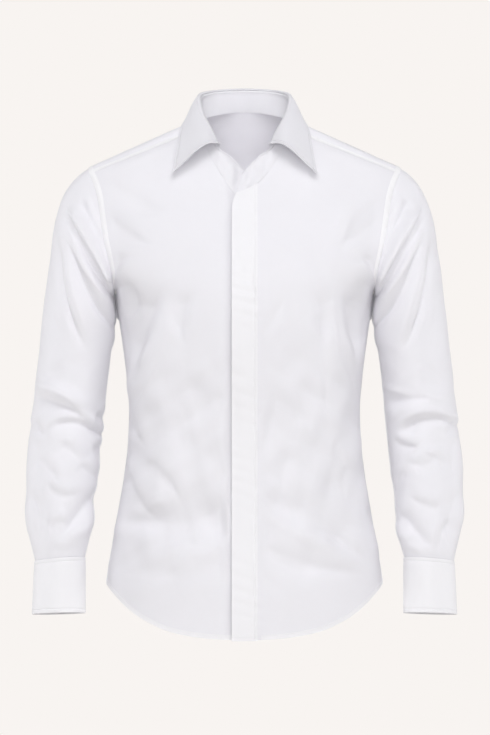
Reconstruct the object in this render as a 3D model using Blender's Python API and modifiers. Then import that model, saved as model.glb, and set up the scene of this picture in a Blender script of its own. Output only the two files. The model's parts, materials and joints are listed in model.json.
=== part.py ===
"""Long sleeve dress shirt with a covered placket, filled out as if worn, with nobody in it.

Lengths in the tables are millimetres. X is the shirt's own left, -Y its front and +Z up, and the
origin is between the two neck points, where the wearer's neck and shoulders hold the shirt.

The body is one surface of superellipse rings. A place on it is an angle round the body and a
height: 0 degrees is the centre front, 90 the left side and 180 the centre back. Each panel is a
grid stretched between its seams on that surface, and each seam has one function that both of its
panels use.
"""
import math

import bmesh
import bpy
import numpy as np
from mathutils import Matrix, Vector

MM = 0.001

# Walls, and the play that keeps two pieces apart
CLOTH_WALL = 1.2
STAND_WALL = 2.0
LEAF_WALL = 1.8
CUFF_WALL = 2.0
PLACKET_WALL = 1.2
PLAY = 0.35
SEAM_INSET = 0.34

# Driving sizes
HEM_SIDE_Z = -649.0
HEM_CENTRE_Z = -721.0
ARMPIT_Z = -236.0
SHOULDER_TIP_Z = -62.5
FRONT_YOKE_NECK = (62.0, -8.0)
FRONT_YOKE_TIP = (219.5, -71.0)
BACK_YOKE_Z = -84.0
PLACKET_LEFT_X = -17.7
PLACKET_RIGHT_X = 18.0
UNDERLAP_X = 15.0
FOLD_END_X = 43.5
BUTTON_ACROSS = 11.0
BUTTON_THICK = 1.8
BUTTON_RIM = 0.4
BUTTON_SEAT = 0.7
COLLAR_BUTTON_OUT = 2.25
BUTTON_SIDES = 14
FRONT_BUTTON_TOP_Z = -128.0
FRONT_BUTTON_STEP = 92.0
FRONT_BUTTONS = 6
PLACKET_DROP = 0.8
RING_POWER = 2.3

# Segments along each seam, shared by the panels that meet there
FOLD_COLUMN = 5
NECK_COLUMNS = 3
YOKE_SEAM_COLUMNS = 7
SIDE_ROWS = 15
FRONT_ARMHOLE_ROWS = 10
YOKE_ARMHOLE_ROWS = 5
BACK_ARMHOLE_ROWS = 9
BACK_HALF_COLUMNS = 11
SLEEVE_HEAD_RINGS = 6
SLEEVE_RINGS = 24
# Steps that a line is drawn with before it is divided evenly
FINE = 60

# The body's rings: height, half width, depth of the front, depth of the back
BODY = {
    "z": (30, 22, 9.4, 0, -8, -28, -46, -62.5, -74, -88, -105, -130, -155, -180, -200,
          -220, -236, -262, -311, -360, -405, -447, -490, -549, -600, -649, -735),
    "half_width": (20, 37, 65, 86, 103.8, 148.4, 188.4, 222, 231, 234, 234.5, 232, 227,
                   219, 210, 197, 182.5, 179.5, 172.5, 166.5, 163.3, 164.7, 169.3,
                   179, 188, 195.3, 197),
    "front": (7, 12, 20, 25, 28.5, 40, 47, 53, 57, 62.5, 71, 85, 98, 109, 115,
              119, 120.5, 121, 118, 111, 104.5, 102, 102, 105, 108, 110, 112),
    "back": (45, 50, 57, 62, 66, 77, 85.5, 91.5, 95, 98.5, 102, 106, 108.5, 110, 110,
             109, 107, 103, 94, 84.5, 79, 79, 84, 92, 98, 101, 103),
}

# Seam lines that aren't straight, in the front view: distance from the centre and height
ARMHOLE = {
    "z": (-236, -232, -226, -214, -192, -163, -130, -106, -84, -71, -62.5),
    "x": (182.5, 183.2, 184.0, 186.0, 191.0, 198.0, 203.5, 207.5, 214.0, 219.5, 222.0),
}
HEM = {
    "x": (-50, 0, 50, 99, 138, 162, 179, 195.3),
    "z": (-718.5, HEM_CENTRE_Z, -718.5, -711, -695.5, -680, -665, HEM_SIDE_Z),
}
LEFT_NECK = {
    "x": (-11.5, 0, 10, 20, 28, 36, 43.5, 50.5, 57, 62),
    "z": (-100.5, -96, -91.5, -85, -76.5, -65.5, -54.5, -42, -26, -8),
}
RIGHT_NECK = {
    "x": (-15, -3, 8, 15, 21, 28, 36, 43.5, 50.5, 57, 62),
    "z": (-111, -107, -103, -98.5, -91.5, -81, -68.5, -56, -42.5, -26, -8),
}
BACK_NECK = {
    "x": (65, 61.5, 52.5, 39, 25, 12, 0, -12),
    "z": (9.4, 10.4, 13.3, 17.3, 20.3, 21.7, 22, 21.7),
}

# Left edge of the placket, which leans over to the open collar at its top
PLACKET_EDGE = {
    "z": (-90, -100.5, -107, -114, -122, -132),
    "x": (-7.5, -11.5, -14.3, -16.4, -17.5, PLACKET_LEFT_X),
}

# Each front's straight columns, by their share of the way from its centre edge to end_x
CENTRE = {
    "left": {"neck": LEFT_NECK, "end_x": PLACKET_RIGHT_X, "share": (0, 1 / 3, 2 / 3, 1)},
    "right": {"neck": RIGHT_NECK, "end_x": 36.0, "share": (0, 0.3, 0.53, 0.765, 1)},
}
PLACKET_COLUMNS = 3
# Share of the centre edge that lies below the armpit's row
CENTRE_LOWER = 0.69
# The right front sinks under the left one between these distances from the centre
DIP_FULL_X = 12.0
DIP_START_X = 36.0
DIP = STAND_WALL + BUTTON_THICK + 1.0
STAND_DIP = 1.75

# The stand's top edge, from its front end round to the centre back, against the share of the neck
# seam that lies below it
STAND = {
    "share": (0.0, 0.09, 0.18, 0.27, 0.335, 0.40, 0.475, 0.54, 0.60, 0.65, 0.71, 0.78, 0.88, 1.0, 1.12),
    "x": (-2.7, 8, 20, 33.5, 40, 46.5, 54, 59.5, 62.3, 63, 60.5, 52.5, 35, 0, -35),
    "y": (-58.5, -56, -52.5, -47.5, -43, -36.5, -26.5, -15, -4, 6, 18, 32, 46.5, 53, 46.5),
    "z": (-70.3, -59, -47.8, -38.5, -31, -16.5, 1, 14.5, 27, 37.5, 44, 48.3, 52.3, 54.3, 52.3),
}
FOLD_SHARE = 0.302
STAND_ROWS = 3
STAND_PLAY = 0.25
# The leaf's outer edge, from its point round to the centre back, against its share of the leaf
LEAF_EDGE = {
    "share": (0.0, 0.1, 0.21, 0.31, 0.40, 0.48, 0.57, 0.67, 0.82, 1.0, 1.18),
    "x": (101.7, 98.5, 95, 92.5, 90, 86.5, 76, 62, 38, 0, -38),
    "y": (-68, -59, -47.5, -34, -19, -1, 21, 41, 57, 64, 57),
    "z": (-73, -55, -33, -16, -5, 2.8, 6.5, 9.5, 12.5, 14, 12.5),
}
LEAF_FALL_ROWS = 4
LEAF_CROWN = 0.06
# Section of the leaf's roll over the stand: outwards, upwards
ROLL = {"out": (0.0, 0.1, 1.5, 3.6, 5.0), "up": (0.5, 1.4, 2.9, 2.6, 0.6)}

# The arm's rings, from below the armhole to the cuff: outer and inner line in the front view,
# centre and half depth in Y, and how far the ring leans forwards in degrees
ARM = {
    "outer_x": (269, 277, 283, 289, 296.5, 304.5, 308.5, 308.5, 302, 294.3, 295, 298),
    "outer_z": (-140, -183, -232, -290, -358, -428, -496, -545, -582, -616.2, -616.9, -690.5),
    "inner_x": (186, 187, 188.5, 191, 196.8, 203, 209.8, 215, 220, 225.3, 224.6, 223.6),
    "inner_z": (-266, -281, -299, -322, -372, -440, -506, -551, -587, -610.2, -610.9, -683),
    "centre_y": (5, 6, 7, 8, 8, 5, -8, -19, -28, -34.5, -34.6, -43.5),
    "half_depth": (68.5, 67.5, 66, 63, 60, 58, 53.5, 49, 44, 34.8, 35.4, 37.3),
    "lean": (0, 0, 1, 2, 4, 6, 7, 7, 7, 7, 7, 7),
}
SLEEVE_END = 9
CUFF_TOP = 10
CUFF_BOTTOM = 11
CUFF_COLUMNS = 30
CUFF_ROWS = 3
CUFF_LAP_START = 209.0
CUFF_LAP = 36.0
LAP_RISE = (334.0, 358.0)
# The way the sleeve's head is carried on from the shoulder, and its extra play there
HEAD_WAY = (0.77, 0.0, 0.22)
SLEEVE_PLAY = 0.4
# Rings over which the columns turn from the armhole's spacing to even ones
SETTLE_ROWS = 3.0
# The sleeve placket's columns and rings, counted on the sleeve
SLIT_COLUMNS = (14, 16)
SLIT_RINGS = 8
SLIT_END = 1.2

# Main creases: start and end in the front view, half width, depth (a trough is negative) and side
FRONT_FOLDS = (
    (117, -240, 158, -338, 19, -8.0, "both"),
    (186, -133, 138, -166, 16, -5.5, "both"),
    (70, -250, 103, -335, 17, -4.5, "both"),
    (160, -405, 104, -522, 20, -8.0, "both"),
    (138, -577, 34, -560, 18, -5.0, "right"),
    (142, -612, 34, -604, 20, 3.5, "both"),
    (34, -530, 152, -598, 20, -6.5, "left"),
)
BACK_FOLDS = (
    (95, -250, 160, -395, 22, -8.0, "both"),
    (30, -365, 125, -480, 22, -6.5, "both"),
    (30, -560, 150, -510, 24, -6.5, "both"),
    (135, -120, 200, -190, 20, -6.0, "both"),
    (20, -140, 60, -300, 28, 4.5, "both"),
)
SLEEVE_FOLDS = (
    (246, -118, 190, -232, 14, -8.0, "front"),
    (260, -176, 212, -268, 15, -6.0, "front"),
    (298, -380, 238, -407, 14, -8.0, "front"),
    (272, -424, 210, -432, 14, -7.0, "front"),
    (306, -450, 268, -478, 15, -4.0, "front"),
    (212, -528, 256, -577, 15, -7.0, "front"),
    (304, -530, 290, -602, 13, -5.0, "front"),
    (302, -372, 230, -402, 17, -8.0, "back"),
    (212, -418, 292, -452, 16, -7.0, "back"),
    (252, -125, 214, -225, 17, -7.0, "back"),
    (294, -520, 234, -572, 15, -7.0, "back"),
)

# Share of a crease's length that each end fades over, and how far creases keep off the placket
FOLD_TAPER = 0.3
FOLD_CLEAR = 16.0

WHITE = (0.86, 0.86, 0.89)
BUTTON_WHITE = (0.9, 0.9, 0.88)
COLLECTION = "dress_shirt"


# ---------------------------------------------------------------- curves and tables

def slopes(x, y):
    """Slopes of a smooth curve through the table that never overshoots its rows."""
    step, rise = np.diff(x), np.diff(y)
    chord = rise / step
    weight_a, weight_b = 2 * step[1:] + step[:-1], step[1:] + 2 * step[:-1]
    same = chord[:-1] * chord[1:] > 0
    mean = np.zeros(len(x))
    with np.errstate(divide="ignore", invalid="ignore"):
        inner = (weight_a + weight_b) / (weight_a / chord[:-1] + weight_b / chord[1:])
    mean[1:-1] = np.where(same, inner, 0.0)
    mean[0], mean[-1] = chord[0], chord[-1]
    return mean


def read_table(x, y, at):
    """The value at each place of `at` on the smooth curve through the rows (x, y)."""
    x, y, at = np.asarray(x, float), np.asarray(y, float), np.asarray(at, float)
    if x[0] > x[-1]:
        x, y = x[::-1], y[::-1]
    slope = slopes(x, y)
    at = np.clip(at, x[0], x[-1])
    i = np.clip(np.searchsorted(x, at) - 1, 0, len(x) - 2)
    step = x[i + 1] - x[i]
    t = (at - x[i]) / step
    start = (1 + 2 * t) * (1 - t) ** 2 * y[i] + t * (1 - t) ** 2 * step * slope[i]
    end = t * t * (3 - 2 * t) * y[i + 1] + t * t * (t - 1) * step * slope[i + 1]
    return start + end


def ease(t):
    """0 below 0, 1 above 1 and a smooth step between."""
    t = np.clip(t, 0.0, 1.0)
    return t * t * (3 - 2 * t)


def unit(vectors):
    """The same directions with length 1."""
    return vectors / np.linalg.norm(vectors, axis=-1, keepdims=True)


def square_to(vectors, line):
    """The unit directions of `vectors` with their share along the line taken out."""
    along = unit(np.gradient(line, axis=0))
    return unit(vectors - np.sum(vectors * along, axis=1, keepdims=True) * along)


def run_share(points):
    """How far along the line each of its points lies, from 0 to 1."""
    run = np.r_[0, np.cumsum(np.linalg.norm(np.diff(points, axis=0), axis=1))]
    return run / run[-1]


# ---------------------------------------------------------------- the body's surface

def body_sizes(z):
    """Half width, front depth and back depth of the body at height z."""
    return [read_table(BODY["z"], BODY[key], z) for key in ("half_width", "front", "back")]


def body_point(angle, z):
    """Places on the body, from angles in degrees and heights."""
    half_width, front, back = body_sizes(z)
    sine, cosine = np.sin(np.radians(angle)), np.cos(np.radians(angle))
    power = 2 / RING_POWER
    x = half_width * np.sign(sine) * np.abs(sine) ** power
    depth = np.where(cosine > 0, front, back)
    y = -depth * np.sign(cosine) * np.abs(cosine) ** power
    return np.stack([x, y, z + 0 * x], axis=-1)


def body_normal(points):
    """Outward unit normals of the body's rings at these points."""
    def level(p):
        half_width, front, back = body_sizes(p[..., 2])
        depth = np.where(p[..., 1] < 0, front, back)
        return (np.abs(p[..., 0] / half_width) ** RING_POWER
                + np.abs(p[..., 1] / depth) ** RING_POWER)
    rise = [level(points + axis) - level(points - axis) for axis in np.eye(3)]
    return unit(np.stack(rise, axis=-1))


def angle_at(x, z, behind=False):
    """The angle round the body at this distance from the centre and this height."""
    half_width = body_sizes(z)[0]
    part = np.clip(np.abs(x) / half_width, 0, 1) ** (RING_POWER / 2)
    angle = np.degrees(np.arcsin(part)) * np.sign(x)
    return 180 - angle if behind else angle


def seam(x, z, behind=False):
    """A seam line as angles and heights, from its front view."""
    x, z = np.asarray(x, float), np.asarray(z, float)
    return np.stack([angle_at(x, z, behind), z], axis=-1)


def evenly_on_body(line, count):
    """The same seam line with `count` even segments, measured on the body."""
    fine = np.linspace(0, 1, 4 * FINE)
    rows = np.linspace(0, 1, len(line))
    dense = np.stack([np.interp(fine, rows, column) for column in line.T], axis=1)
    share = run_share(body_point(dense[:, 0], dense[:, 1]))
    at = np.linspace(0, 1, count + 1)
    return np.stack([np.interp(at, share, column) for column in dense.T], axis=1)


# ---------------------------------------------------------------- seams, as angles and heights

def armhole(behind):
    """The armhole from the armpit up to the yoke, in front or behind."""
    stop = BACK_YOKE_Z if behind else FRONT_YOKE_TIP[1]
    z = ARMPIT_Z + (stop - ARMPIT_Z) * np.linspace(0, 1, FINE) ** 1.5
    line = seam(read_table(ARMHOLE["z"], ARMHOLE["x"], z), z, behind)
    line[0, 0] = 90.0
    return evenly_on_body(line, BACK_ARMHOLE_ROWS if behind else FRONT_ARMHOLE_ROWS)


def yoke_armhole():
    """The top of the armhole, from the front yoke seam over the shoulder tip to the back."""
    near_tip = np.linspace(0, 1, FINE) ** 2
    front_z = SHOULDER_TIP_Z + (FRONT_YOKE_TIP[1] - SHOULDER_TIP_Z) * near_tip[::-1]
    back_z = SHOULDER_TIP_Z + (BACK_YOKE_Z - SHOULDER_TIP_Z) * near_tip
    front = seam(read_table(ARMHOLE["z"], ARMHOLE["x"], front_z), front_z)
    back = seam(read_table(ARMHOLE["z"], ARMHOLE["x"], back_z), back_z, True)
    return evenly_on_body(np.concatenate([front[:-1], back]), YOKE_ARMHOLE_ROWS)


def front_yoke_seam():
    """The straight seam from the neck to the shoulder tip, a little in front of the shoulder."""
    x = np.linspace(FRONT_YOKE_NECK[0], FRONT_YOKE_TIP[0], FINE)
    z = np.linspace(FRONT_YOKE_NECK[1], FRONT_YOKE_TIP[1], FINE)
    return evenly_on_body(seam(x, z), YOKE_SEAM_COLUMNS)


def back_yoke_seam():
    """The level seam across the back, from the armhole to the centre."""
    start = armhole(True)[-1]
    angle = np.linspace(start[0], 180, FINE)
    return evenly_on_body(np.stack([angle, np.full(FINE, start[1])], axis=1), BACK_HALF_COLUMNS)


def side_seam():
    """The side seam from the hem to the armpit."""
    z = np.linspace(HEM_SIDE_Z, ARMPIT_Z, SIDE_ROWS + 1)
    return np.stack([np.full(len(z), 90.0), z], axis=1)


def neck_seam(table, x_from, x_to, count):
    """A stretch of one front's neck seam, between two distances from the centre."""
    x = np.linspace(x_from, x_to, FINE)
    return evenly_on_body(seam(x, read_table(table["x"], table["z"], x)), count)


def yoke_neck(count):
    """The yoke's neck seam, from the front yoke seam to the centre back."""
    front_x = np.linspace(FRONT_YOKE_NECK[0], BACK_NECK["x"][0], FINE // 3)
    front_z = np.linspace(FRONT_YOKE_NECK[1], BACK_NECK["z"][0], FINE // 3)
    back_x = np.linspace(BACK_NECK["x"][0], 0, FINE)
    back = seam(back_x, read_table(BACK_NECK["x"], BACK_NECK["z"], back_x), True)
    back[0, 0] = 90.0
    return evenly_on_body(np.concatenate([seam(front_x, front_z)[:-1], back]), count)


def hem(angle_from, angle_to, count):
    """The shirt-tail hem between two angles, 0 to 90 in front or 90 to 180 behind."""
    angle = np.linspace(angle_from, angle_to, FINE)
    spread = np.abs(np.sin(np.radians(angle))) ** (2 / RING_POWER) * HEM["x"][-1]
    line = np.stack([angle, read_table(HEM["x"], HEM["z"], spread)], axis=1)
    return evenly_on_body(line, count)


# ---------------------------------------------------------------- panels

def stretch(bottom, top, left, right):
    """A grid of angles and heights stretched between its four edges."""
    u = np.linspace(0, 1, len(bottom))[None, :, None]
    v = np.linspace(0, 1, len(left))[:, None, None]
    sides = (1 - u) * left[:, None] + u * right[:, None]
    ends = (1 - v) * bottom[None] + v * top[None]
    corners = ((1 - u) * (1 - v) * bottom[0] + u * (1 - v) * bottom[-1]
               + (1 - u) * v * top[0] + u * v * top[-1])
    return sides + ends - corners


def grid_normals(grid):
    """Unit normals of a grid of points, outwards where its columns run to the shirt's left."""
    return unit(np.cross(np.gradient(grid, axis=1), np.gradient(grid, axis=0)))


def fold_depth(x, z, folds, side):
    """How far the creases lift (or sink) the cloth at each place of the front view."""
    depth = np.zeros(x.shape)
    for x0, z0, x1, z1, width, height, where in folds:
        if where not in ("both", side):
            continue
        run = np.array([x1 - x0, z1 - z0], float)
        length = np.linalg.norm(run)
        along = ((x - x0) * run[0] + (z - z0) * run[1]) / length ** 2
        off = ((x - x0) * run[1] - (z - z0) * run[0]) / length
        taper = ease(along / FOLD_TAPER + 0.5) * ease((1 - along) / FOLD_TAPER + 0.5)
        depth += height * np.exp(-(off / width) ** 2) * taper
    return depth


def inset(grid, edges, amount=SEAM_INSET):
    """Moves the named edges of a grid inwards along the cloth, to leave play at the seams."""
    grid = grid.copy()
    views = {
        "bottom": (grid[0], grid[1]), "top": (grid[-1], grid[-2]),
        "left": (grid[:, 0], grid[:, 1]), "right": (grid[:, -1], grid[:, -2]),
    }
    for name in edges:
        edge, inner = views[name]
        edge += amount * unit(inner - edge)
    return grid


def edge_hold(shape):
    """A factor that lets creases fade out over the first two cells from all four edges."""
    v = np.arange(shape[0])[:, None] / 2
    u = np.arange(shape[1])[None, :] / 2
    return ease(v) * ease(v[::-1]) * ease(u) * ease(u[:, ::-1])


def front_dip(x):
    """How far the right front sinks in, to pass under the left one and its buttons."""
    return DIP * ease((DIP_START_X - x) / (DIP_START_X - DIP_FULL_X))


def centre_edge(side, z):
    """A front's centre edge: the placket's edge on the left, the underlap's on the right."""
    if side == "left":
        return read_table(PLACKET_EDGE["z"], PLACKET_EDGE["x"], z)
    return np.full(np.shape(z), -UNDERLAP_X)


def centre_columns(side):
    """A front's straight columns beside its centre edge, as angles and heights from the hem up."""
    plan = CENTRE[side]
    share = np.array(plan["share"], float)
    neck_x = plan["neck"]["x"][0] + share * (plan["end_x"] - plan["neck"]["x"][0])
    z_top = read_table(plan["neck"]["x"], plan["neck"]["z"], neck_x)
    z_bottom = read_table(HEM["x"], HEM["z"], share * plan["end_x"])
    lower = np.linspace(0, CENTRE_LOWER, SIDE_ROWS + 1)
    upper = np.linspace(CENTRE_LOWER, 1, FRONT_ARMHOLE_ROWS + 1)
    height = np.concatenate([lower, upper[1:]])[:, None]
    z = (1 - height) * z_bottom + height * z_top
    edge = centre_edge(side, z)
    x = edge + share * (plan["end_x"] - edge)
    x[-1] = neck_x
    return seam(x, z)


def front_grid(side):
    """The points of one front: rows from the hem up, columns from the centre to the side."""
    plan = CENTRE[side]
    centre = centre_columns(side)
    to_fold = FOLD_COLUMN - (len(plan["share"]) - 1)
    top = np.concatenate([
        neck_seam(plan["neck"], plan["end_x"], FOLD_END_X, to_fold)[:-1],
        neck_seam(plan["neck"], FOLD_END_X, FRONT_YOKE_NECK[0], NECK_COLUMNS)[:-1],
        front_yoke_seam(),
    ])
    outer = np.concatenate([side_seam()[:-1], armhole(False)])
    inner = centre[:, -1]
    bottom = hem(inner[0, 0], 90, len(top) - 1)
    bottom[0], top[0] = inner[0], inner[-1]
    flat = np.concatenate([centre[:, :-1], stretch(bottom, top, inner, outer)], axis=1)
    grid = body_point(flat[..., 0], flat[..., 1])
    lift = fold_depth(grid[..., 0], grid[..., 2], FRONT_FOLDS, side) * edge_hold(grid.shape)
    lift *= ease((grid[..., 0] - PLACKET_RIGHT_X) / FOLD_CLEAR)
    if side == "right":
        lift -= front_dip(grid[..., 0])
    return grid + lift[..., None] * body_normal(grid)


def whole(half):
    """A half piece's grid joined to its mirror image at its last column."""
    return np.concatenate([half, half[:, -2::-1] * (-1, 1, 1)], axis=1)


def back_grid():
    """The back's points: rows from the hem up, columns from the left side to the right."""
    side = np.concatenate([side_seam()[:-1], armhole(True)])
    rise = np.linspace(HEM_CENTRE_Z, BACK_YOKE_Z, len(side))
    centre = np.stack([np.full(len(side), 180.0), rise], axis=1)
    flat = stretch(hem(90, 180, BACK_HALF_COLUMNS), back_yoke_seam(), side, centre)
    half = body_point(flat[..., 0], flat[..., 1])
    hold = edge_hold((len(half), 2 * BACK_HALF_COLUMNS + 1))[:, :half.shape[1]]
    lift = fold_depth(half[..., 0], half[..., 2], BACK_FOLDS, "left") * hold
    return whole(half + lift[..., None] * body_normal(half))


def yoke_grid():
    """The yoke's points: rows from the neck out, columns from the left front round to the right."""
    outer = np.concatenate([yoke_armhole()[:-1], back_yoke_seam()])
    inner = yoke_neck(len(outer) - 1)
    front = front_yoke_seam()
    centre_z = np.linspace(inner[-1, 1], BACK_YOKE_Z, len(front))
    centre = np.stack([np.full(len(front), 180.0), centre_z], axis=1)
    flat = stretch(inner, outer, front, centre)
    return whole(body_point(flat[..., 0], flat[..., 1]))


# ---------------------------------------------------------------- sleeves and cuffs

def arm_row(key, row):
    """One size of the arm's rings at a row number that may fall between two rows."""
    return float(read_table(np.arange(len(ARM[key])), ARM[key], row))


def arm_ring(row, angle, swell=0.0):
    """Points round the arm: 0 degrees on the inner line, 90 in front, 180 on the outer line."""
    outer = np.array([arm_row("outer_x", row), 0.0, arm_row("outer_z", row)])
    inner = np.array([arm_row("inner_x", row), 0.0, arm_row("inner_z", row)])
    lean = math.radians(arm_row("lean", row))
    forward = np.array([0.0, -math.cos(lean), math.sin(lean)])
    centre = (outer + inner) / 2 + (0.0, arm_row("centre_y", row), 0.0)
    across = (inner - outer) / 2
    half_width = np.linalg.norm(across)
    turn = np.radians(angle)[:, None]
    grow = np.zeros(len(turn))[:, None] + np.reshape(swell, (-1, 1))
    return (centre + (half_width + grow) * np.cos(turn) * across / half_width
            + (arm_row("half_depth", row) + grow) * np.sin(turn) * forward)


def armhole_loop():
    """The whole armhole in space, from the armpit up the front, over the shoulder and down."""
    line = np.concatenate([armhole(False)[:-1], yoke_armhole()[:-1], armhole(True)[::-1]])
    return body_point(line[:, 0], line[:, 1])


def armhole_angles(loop):
    """Where each point of the armhole lies round the arm, seen along the sleeve."""
    outer = np.array([ARM["outer_x"][0], ARM["outer_z"][0]])
    inner = np.array([ARM["inner_x"][0], ARM["inner_z"][0]])
    axis = (inner - outer) / 2
    reach = ((loop[:, [0, 2]] - (outer + inner) / 2) @ axis) / (axis @ axis)
    forward = -(loop[:, 1] - ARM["centre_y"][0]) / ARM["half_depth"][0]
    angle = np.degrees(np.arctan2(forward, reach)) % 360
    angle[0], angle[-1] = 0.0, 360.0
    return angle


def sleeve_head(loop, angle, ring_angle):
    """The sleeve's rings from the armhole to its first full ring, each a smooth step on."""
    top = 0.5 - 0.5 * np.cos(np.radians(angle))[:, None]
    end = arm_ring(0, ring_angle)
    reach = np.linalg.norm(end - loop, axis=1, keepdims=True)
    leave = unit(unit(end - loop) + top * HEAD_WAY)
    arrive = unit(arm_ring(0.5, ring_angle) - end)
    out = SLEEVE_PLAY * top * leave + (CLOTH_WALL + PLAY) * (1 - top) * body_normal(loop)
    start = loop + PLAY * leave + out
    rings = []
    for t in np.linspace(0, 1, SLEEVE_HEAD_RINGS, endpoint=False):
        rings.append((1 + 2 * t) * (1 - t) ** 2 * start + t * (1 - t) ** 2 * reach * leave
                     + t * t * (3 - 2 * t) * end + t * t * (t - 1) * reach * arrive)
    return rings


def sleeve_grid():
    """The left sleeve's points: rows from the armhole to the cuff, columns round the arm."""
    loop = armhole_loop()
    angle = armhole_angles(loop)
    even = np.linspace(0, 360, len(loop))
    middle = np.array([(np.array(ARM["outer_" + key]) + ARM["inner_" + key]) / 2 for key in "xz"])
    share = run_share(middle[:, :SLEEVE_END + 1].T)
    rows = np.interp(np.linspace(0, 1, SLEEVE_RINGS + 1), share, np.arange(SLEEVE_END + 1))
    rings = sleeve_head(loop, angle, (angle + even) / 2)
    for row in rows:
        settle = 0.5 + 0.5 * ease(row / SETTLE_ROWS)
        rings.append(arm_ring(row, (1 - settle) * angle + settle * even))
    grid = np.array(rings)
    outward = -grid_normals(grid)
    number = np.arange(len(grid), dtype=float)[:, None]
    hold = ease((number - 2) / 4) * ease(number[::-1] / 1.5)
    for side, sign in (("front", 1), ("back", -1)):
        lift = fold_depth(grid[..., 0], grid[..., 2], SLEEVE_FOLDS, side) * hold
        lift *= ease(0.5 + 0.9 * sign * np.sin(np.radians(even)))
        grid = grid + lift[..., None] * outward
    grid[:, -1] = grid[:, 0]
    return grid


def cuff_grid():
    """The left cuff's points: one turn round the wrist that ends lapped over its start."""
    turn = np.linspace(0, 360 + CUFF_LAP, CUFF_COLUMNS + 1)
    swell = (CUFF_WALL + PLAY) * ease((turn - LAP_RISE[0]) / (LAP_RISE[1] - LAP_RISE[0]))
    rows = np.linspace(CUFF_BOTTOM, CUFF_TOP, CUFF_ROWS + 1)
    return np.array([arm_ring(row, CUFF_LAP_START + turn, swell) for row in rows])


def sleeve_placket_grid(sleeve):
    """The strip over the left sleeve's slit: some of the sleeve's own points, moved out."""
    first, last = SLIT_COLUMNS
    outward = -grid_normals(sleeve)
    strip = sleeve + (CLOTH_WALL + PLAY) * outward
    return inset(strip[-1 - SLIT_RINGS:, first:last + 1], ("top",), SLIT_END)


# ---------------------------------------------------------------- collar and placket

def stand_half(front, yoke, sunk):
    """Foot and top of the stand from one front end to the centre back."""
    neck_end = FOLD_COLUMN + NECK_COLUMNS
    centre_back = yoke.shape[1] // 2
    foot = np.concatenate([front[-1, :neck_end + 1], yoke[0, 1:centre_back + 1]])
    share = run_share(foot)
    share = np.interp(share, (0, share[FOLD_COLUMN], 1), (0, FOLD_SHARE, 1))
    top = np.stack([read_table(STAND["share"], STAND[key], share) for key in "xyz"], axis=1)
    if sunk:
        tab = top[:FOLD_COLUMN]
        tab[:, 1] += STAND_DIP * front_dip(tab[:, 0])
    return foot, top


def stand_grid(left, right, yoke):
    """The stand's points: rows from the neck seam up, columns from its left end to its right.

    Its foot is raised until the two walls, which meet at an angle, have their play.
    """
    left_foot, left_top = stand_half(left, yoke, False)
    right_foot, right_top = stand_half(right, yoke, True)
    foot = np.concatenate([left_foot, (right_foot * (-1, 1, 1))[-2::-1]])
    top = np.concatenate([left_top, (right_top * (-1, 1, 1))[-2::-1]])
    square = square_to(top - foot, foot)
    rise = unit(top - foot)
    rise /= np.sum(rise * square, axis=1, keepdims=True)
    steep = np.abs(np.sum(square * body_normal(foot), axis=1))
    onward = np.sqrt(1 - steep ** 2)
    clear = (PLAY + (CLOTH_WALL - onward * STAND_WALL) / 2) / np.maximum(steep, 0.2)
    foot = foot + (np.maximum(clear, PLAY) + STAND_PLAY)[:, None] * rise
    share = np.linspace(0, 1, STAND_ROWS + 1)[:, None, None]
    return (1 - share) * foot + share * top


def leaf_grid(stand):
    """The leaf's points: up from the stand's top, over the roll and down to its outer edge."""
    foot, top = stand[0, FOLD_COLUMN:-FOLD_COLUMN], stand[-1, FOLD_COLUMN:-FOLD_COLUMN]
    share = run_share(top[:len(top) // 2 + 1])
    half = np.stack([read_table(LEAF_EDGE["share"], LEAF_EDGE[key], share) for key in "xyz"], axis=1)
    edge = np.concatenate([half, (half * (-1, 1, 1))[-2::-1]])
    rise = square_to(top - foot, top)
    out = unit(np.cross(np.gradient(top, axis=0), rise))
    rows = [top + o * out + u * rise for o, u in zip(ROLL["out"], ROLL["up"])]
    start = rows[-1]
    fall = edge - start
    bulge = LEAF_CROWN * np.linalg.norm(fall, axis=1, keepdims=True)
    for part in np.linspace(0, 1, LEAF_FALL_ROWS + 1)[1:]:
        crown = 4 * part * (1 - part) * bulge * (out + 0.5 * rise)
        rows.append(start + part * fall + crown)
    return np.array(rows)


def placket_grid(left):
    """The strip over the fly, from the hem up: the left front's own points, moved out."""
    panel = left[:, :PLACKET_COLUMNS + 1]
    grid = panel + ((CLOTH_WALL + PLACKET_WALL) / 2 + PLAY) * body_normal(panel)
    grid[0, :, 2] -= PLACKET_DROP
    return grid


# ---------------------------------------------------------------- buttons

def front_button(number):
    """Place and facing of a button on the right front, under the fly."""
    z = FRONT_BUTTON_TOP_Z - number * FRONT_BUTTON_STEP
    spot = body_point(np.array([0.0]), np.array([z]))
    facing = body_normal(spot)[0]
    return spot[0] + (CLOTH_WALL / 2 + BUTTON_SEAT + BUTTON_THICK / 2 - DIP) * facing, facing


def collar_button(stand):
    """Place and facing of the button on the stand's right end, under its left end."""
    facing = grid_normals(stand)[2, -2]
    tab = (stand[1] + 3 * stand[2]) / 4
    return (tab[-1] + tab[-2]) / 2 + COLLAR_BUTTON_OUT * facing, facing


def cuff_button():
    """Place and facing of the button on the left cuff's outer lap."""
    angle = np.array([CUFF_LAP_START + CUFF_LAP / 2])
    row = (CUFF_TOP + CUFF_BOTTOM) / 2
    out = CUFF_WALL + PLAY + CUFF_WALL / 2 + BUTTON_SEAT + BUTTON_THICK / 2
    spot = arm_ring(row, angle, out)[0]
    return spot, unit(spot - arm_ring(row, angle)[0])


# ---------------------------------------------------------------- objects

def collection(name):
    """A new collection in the scene."""
    made = bpy.data.collections.new(name)
    bpy.context.scene.collection.children.link(made)
    return made


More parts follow.
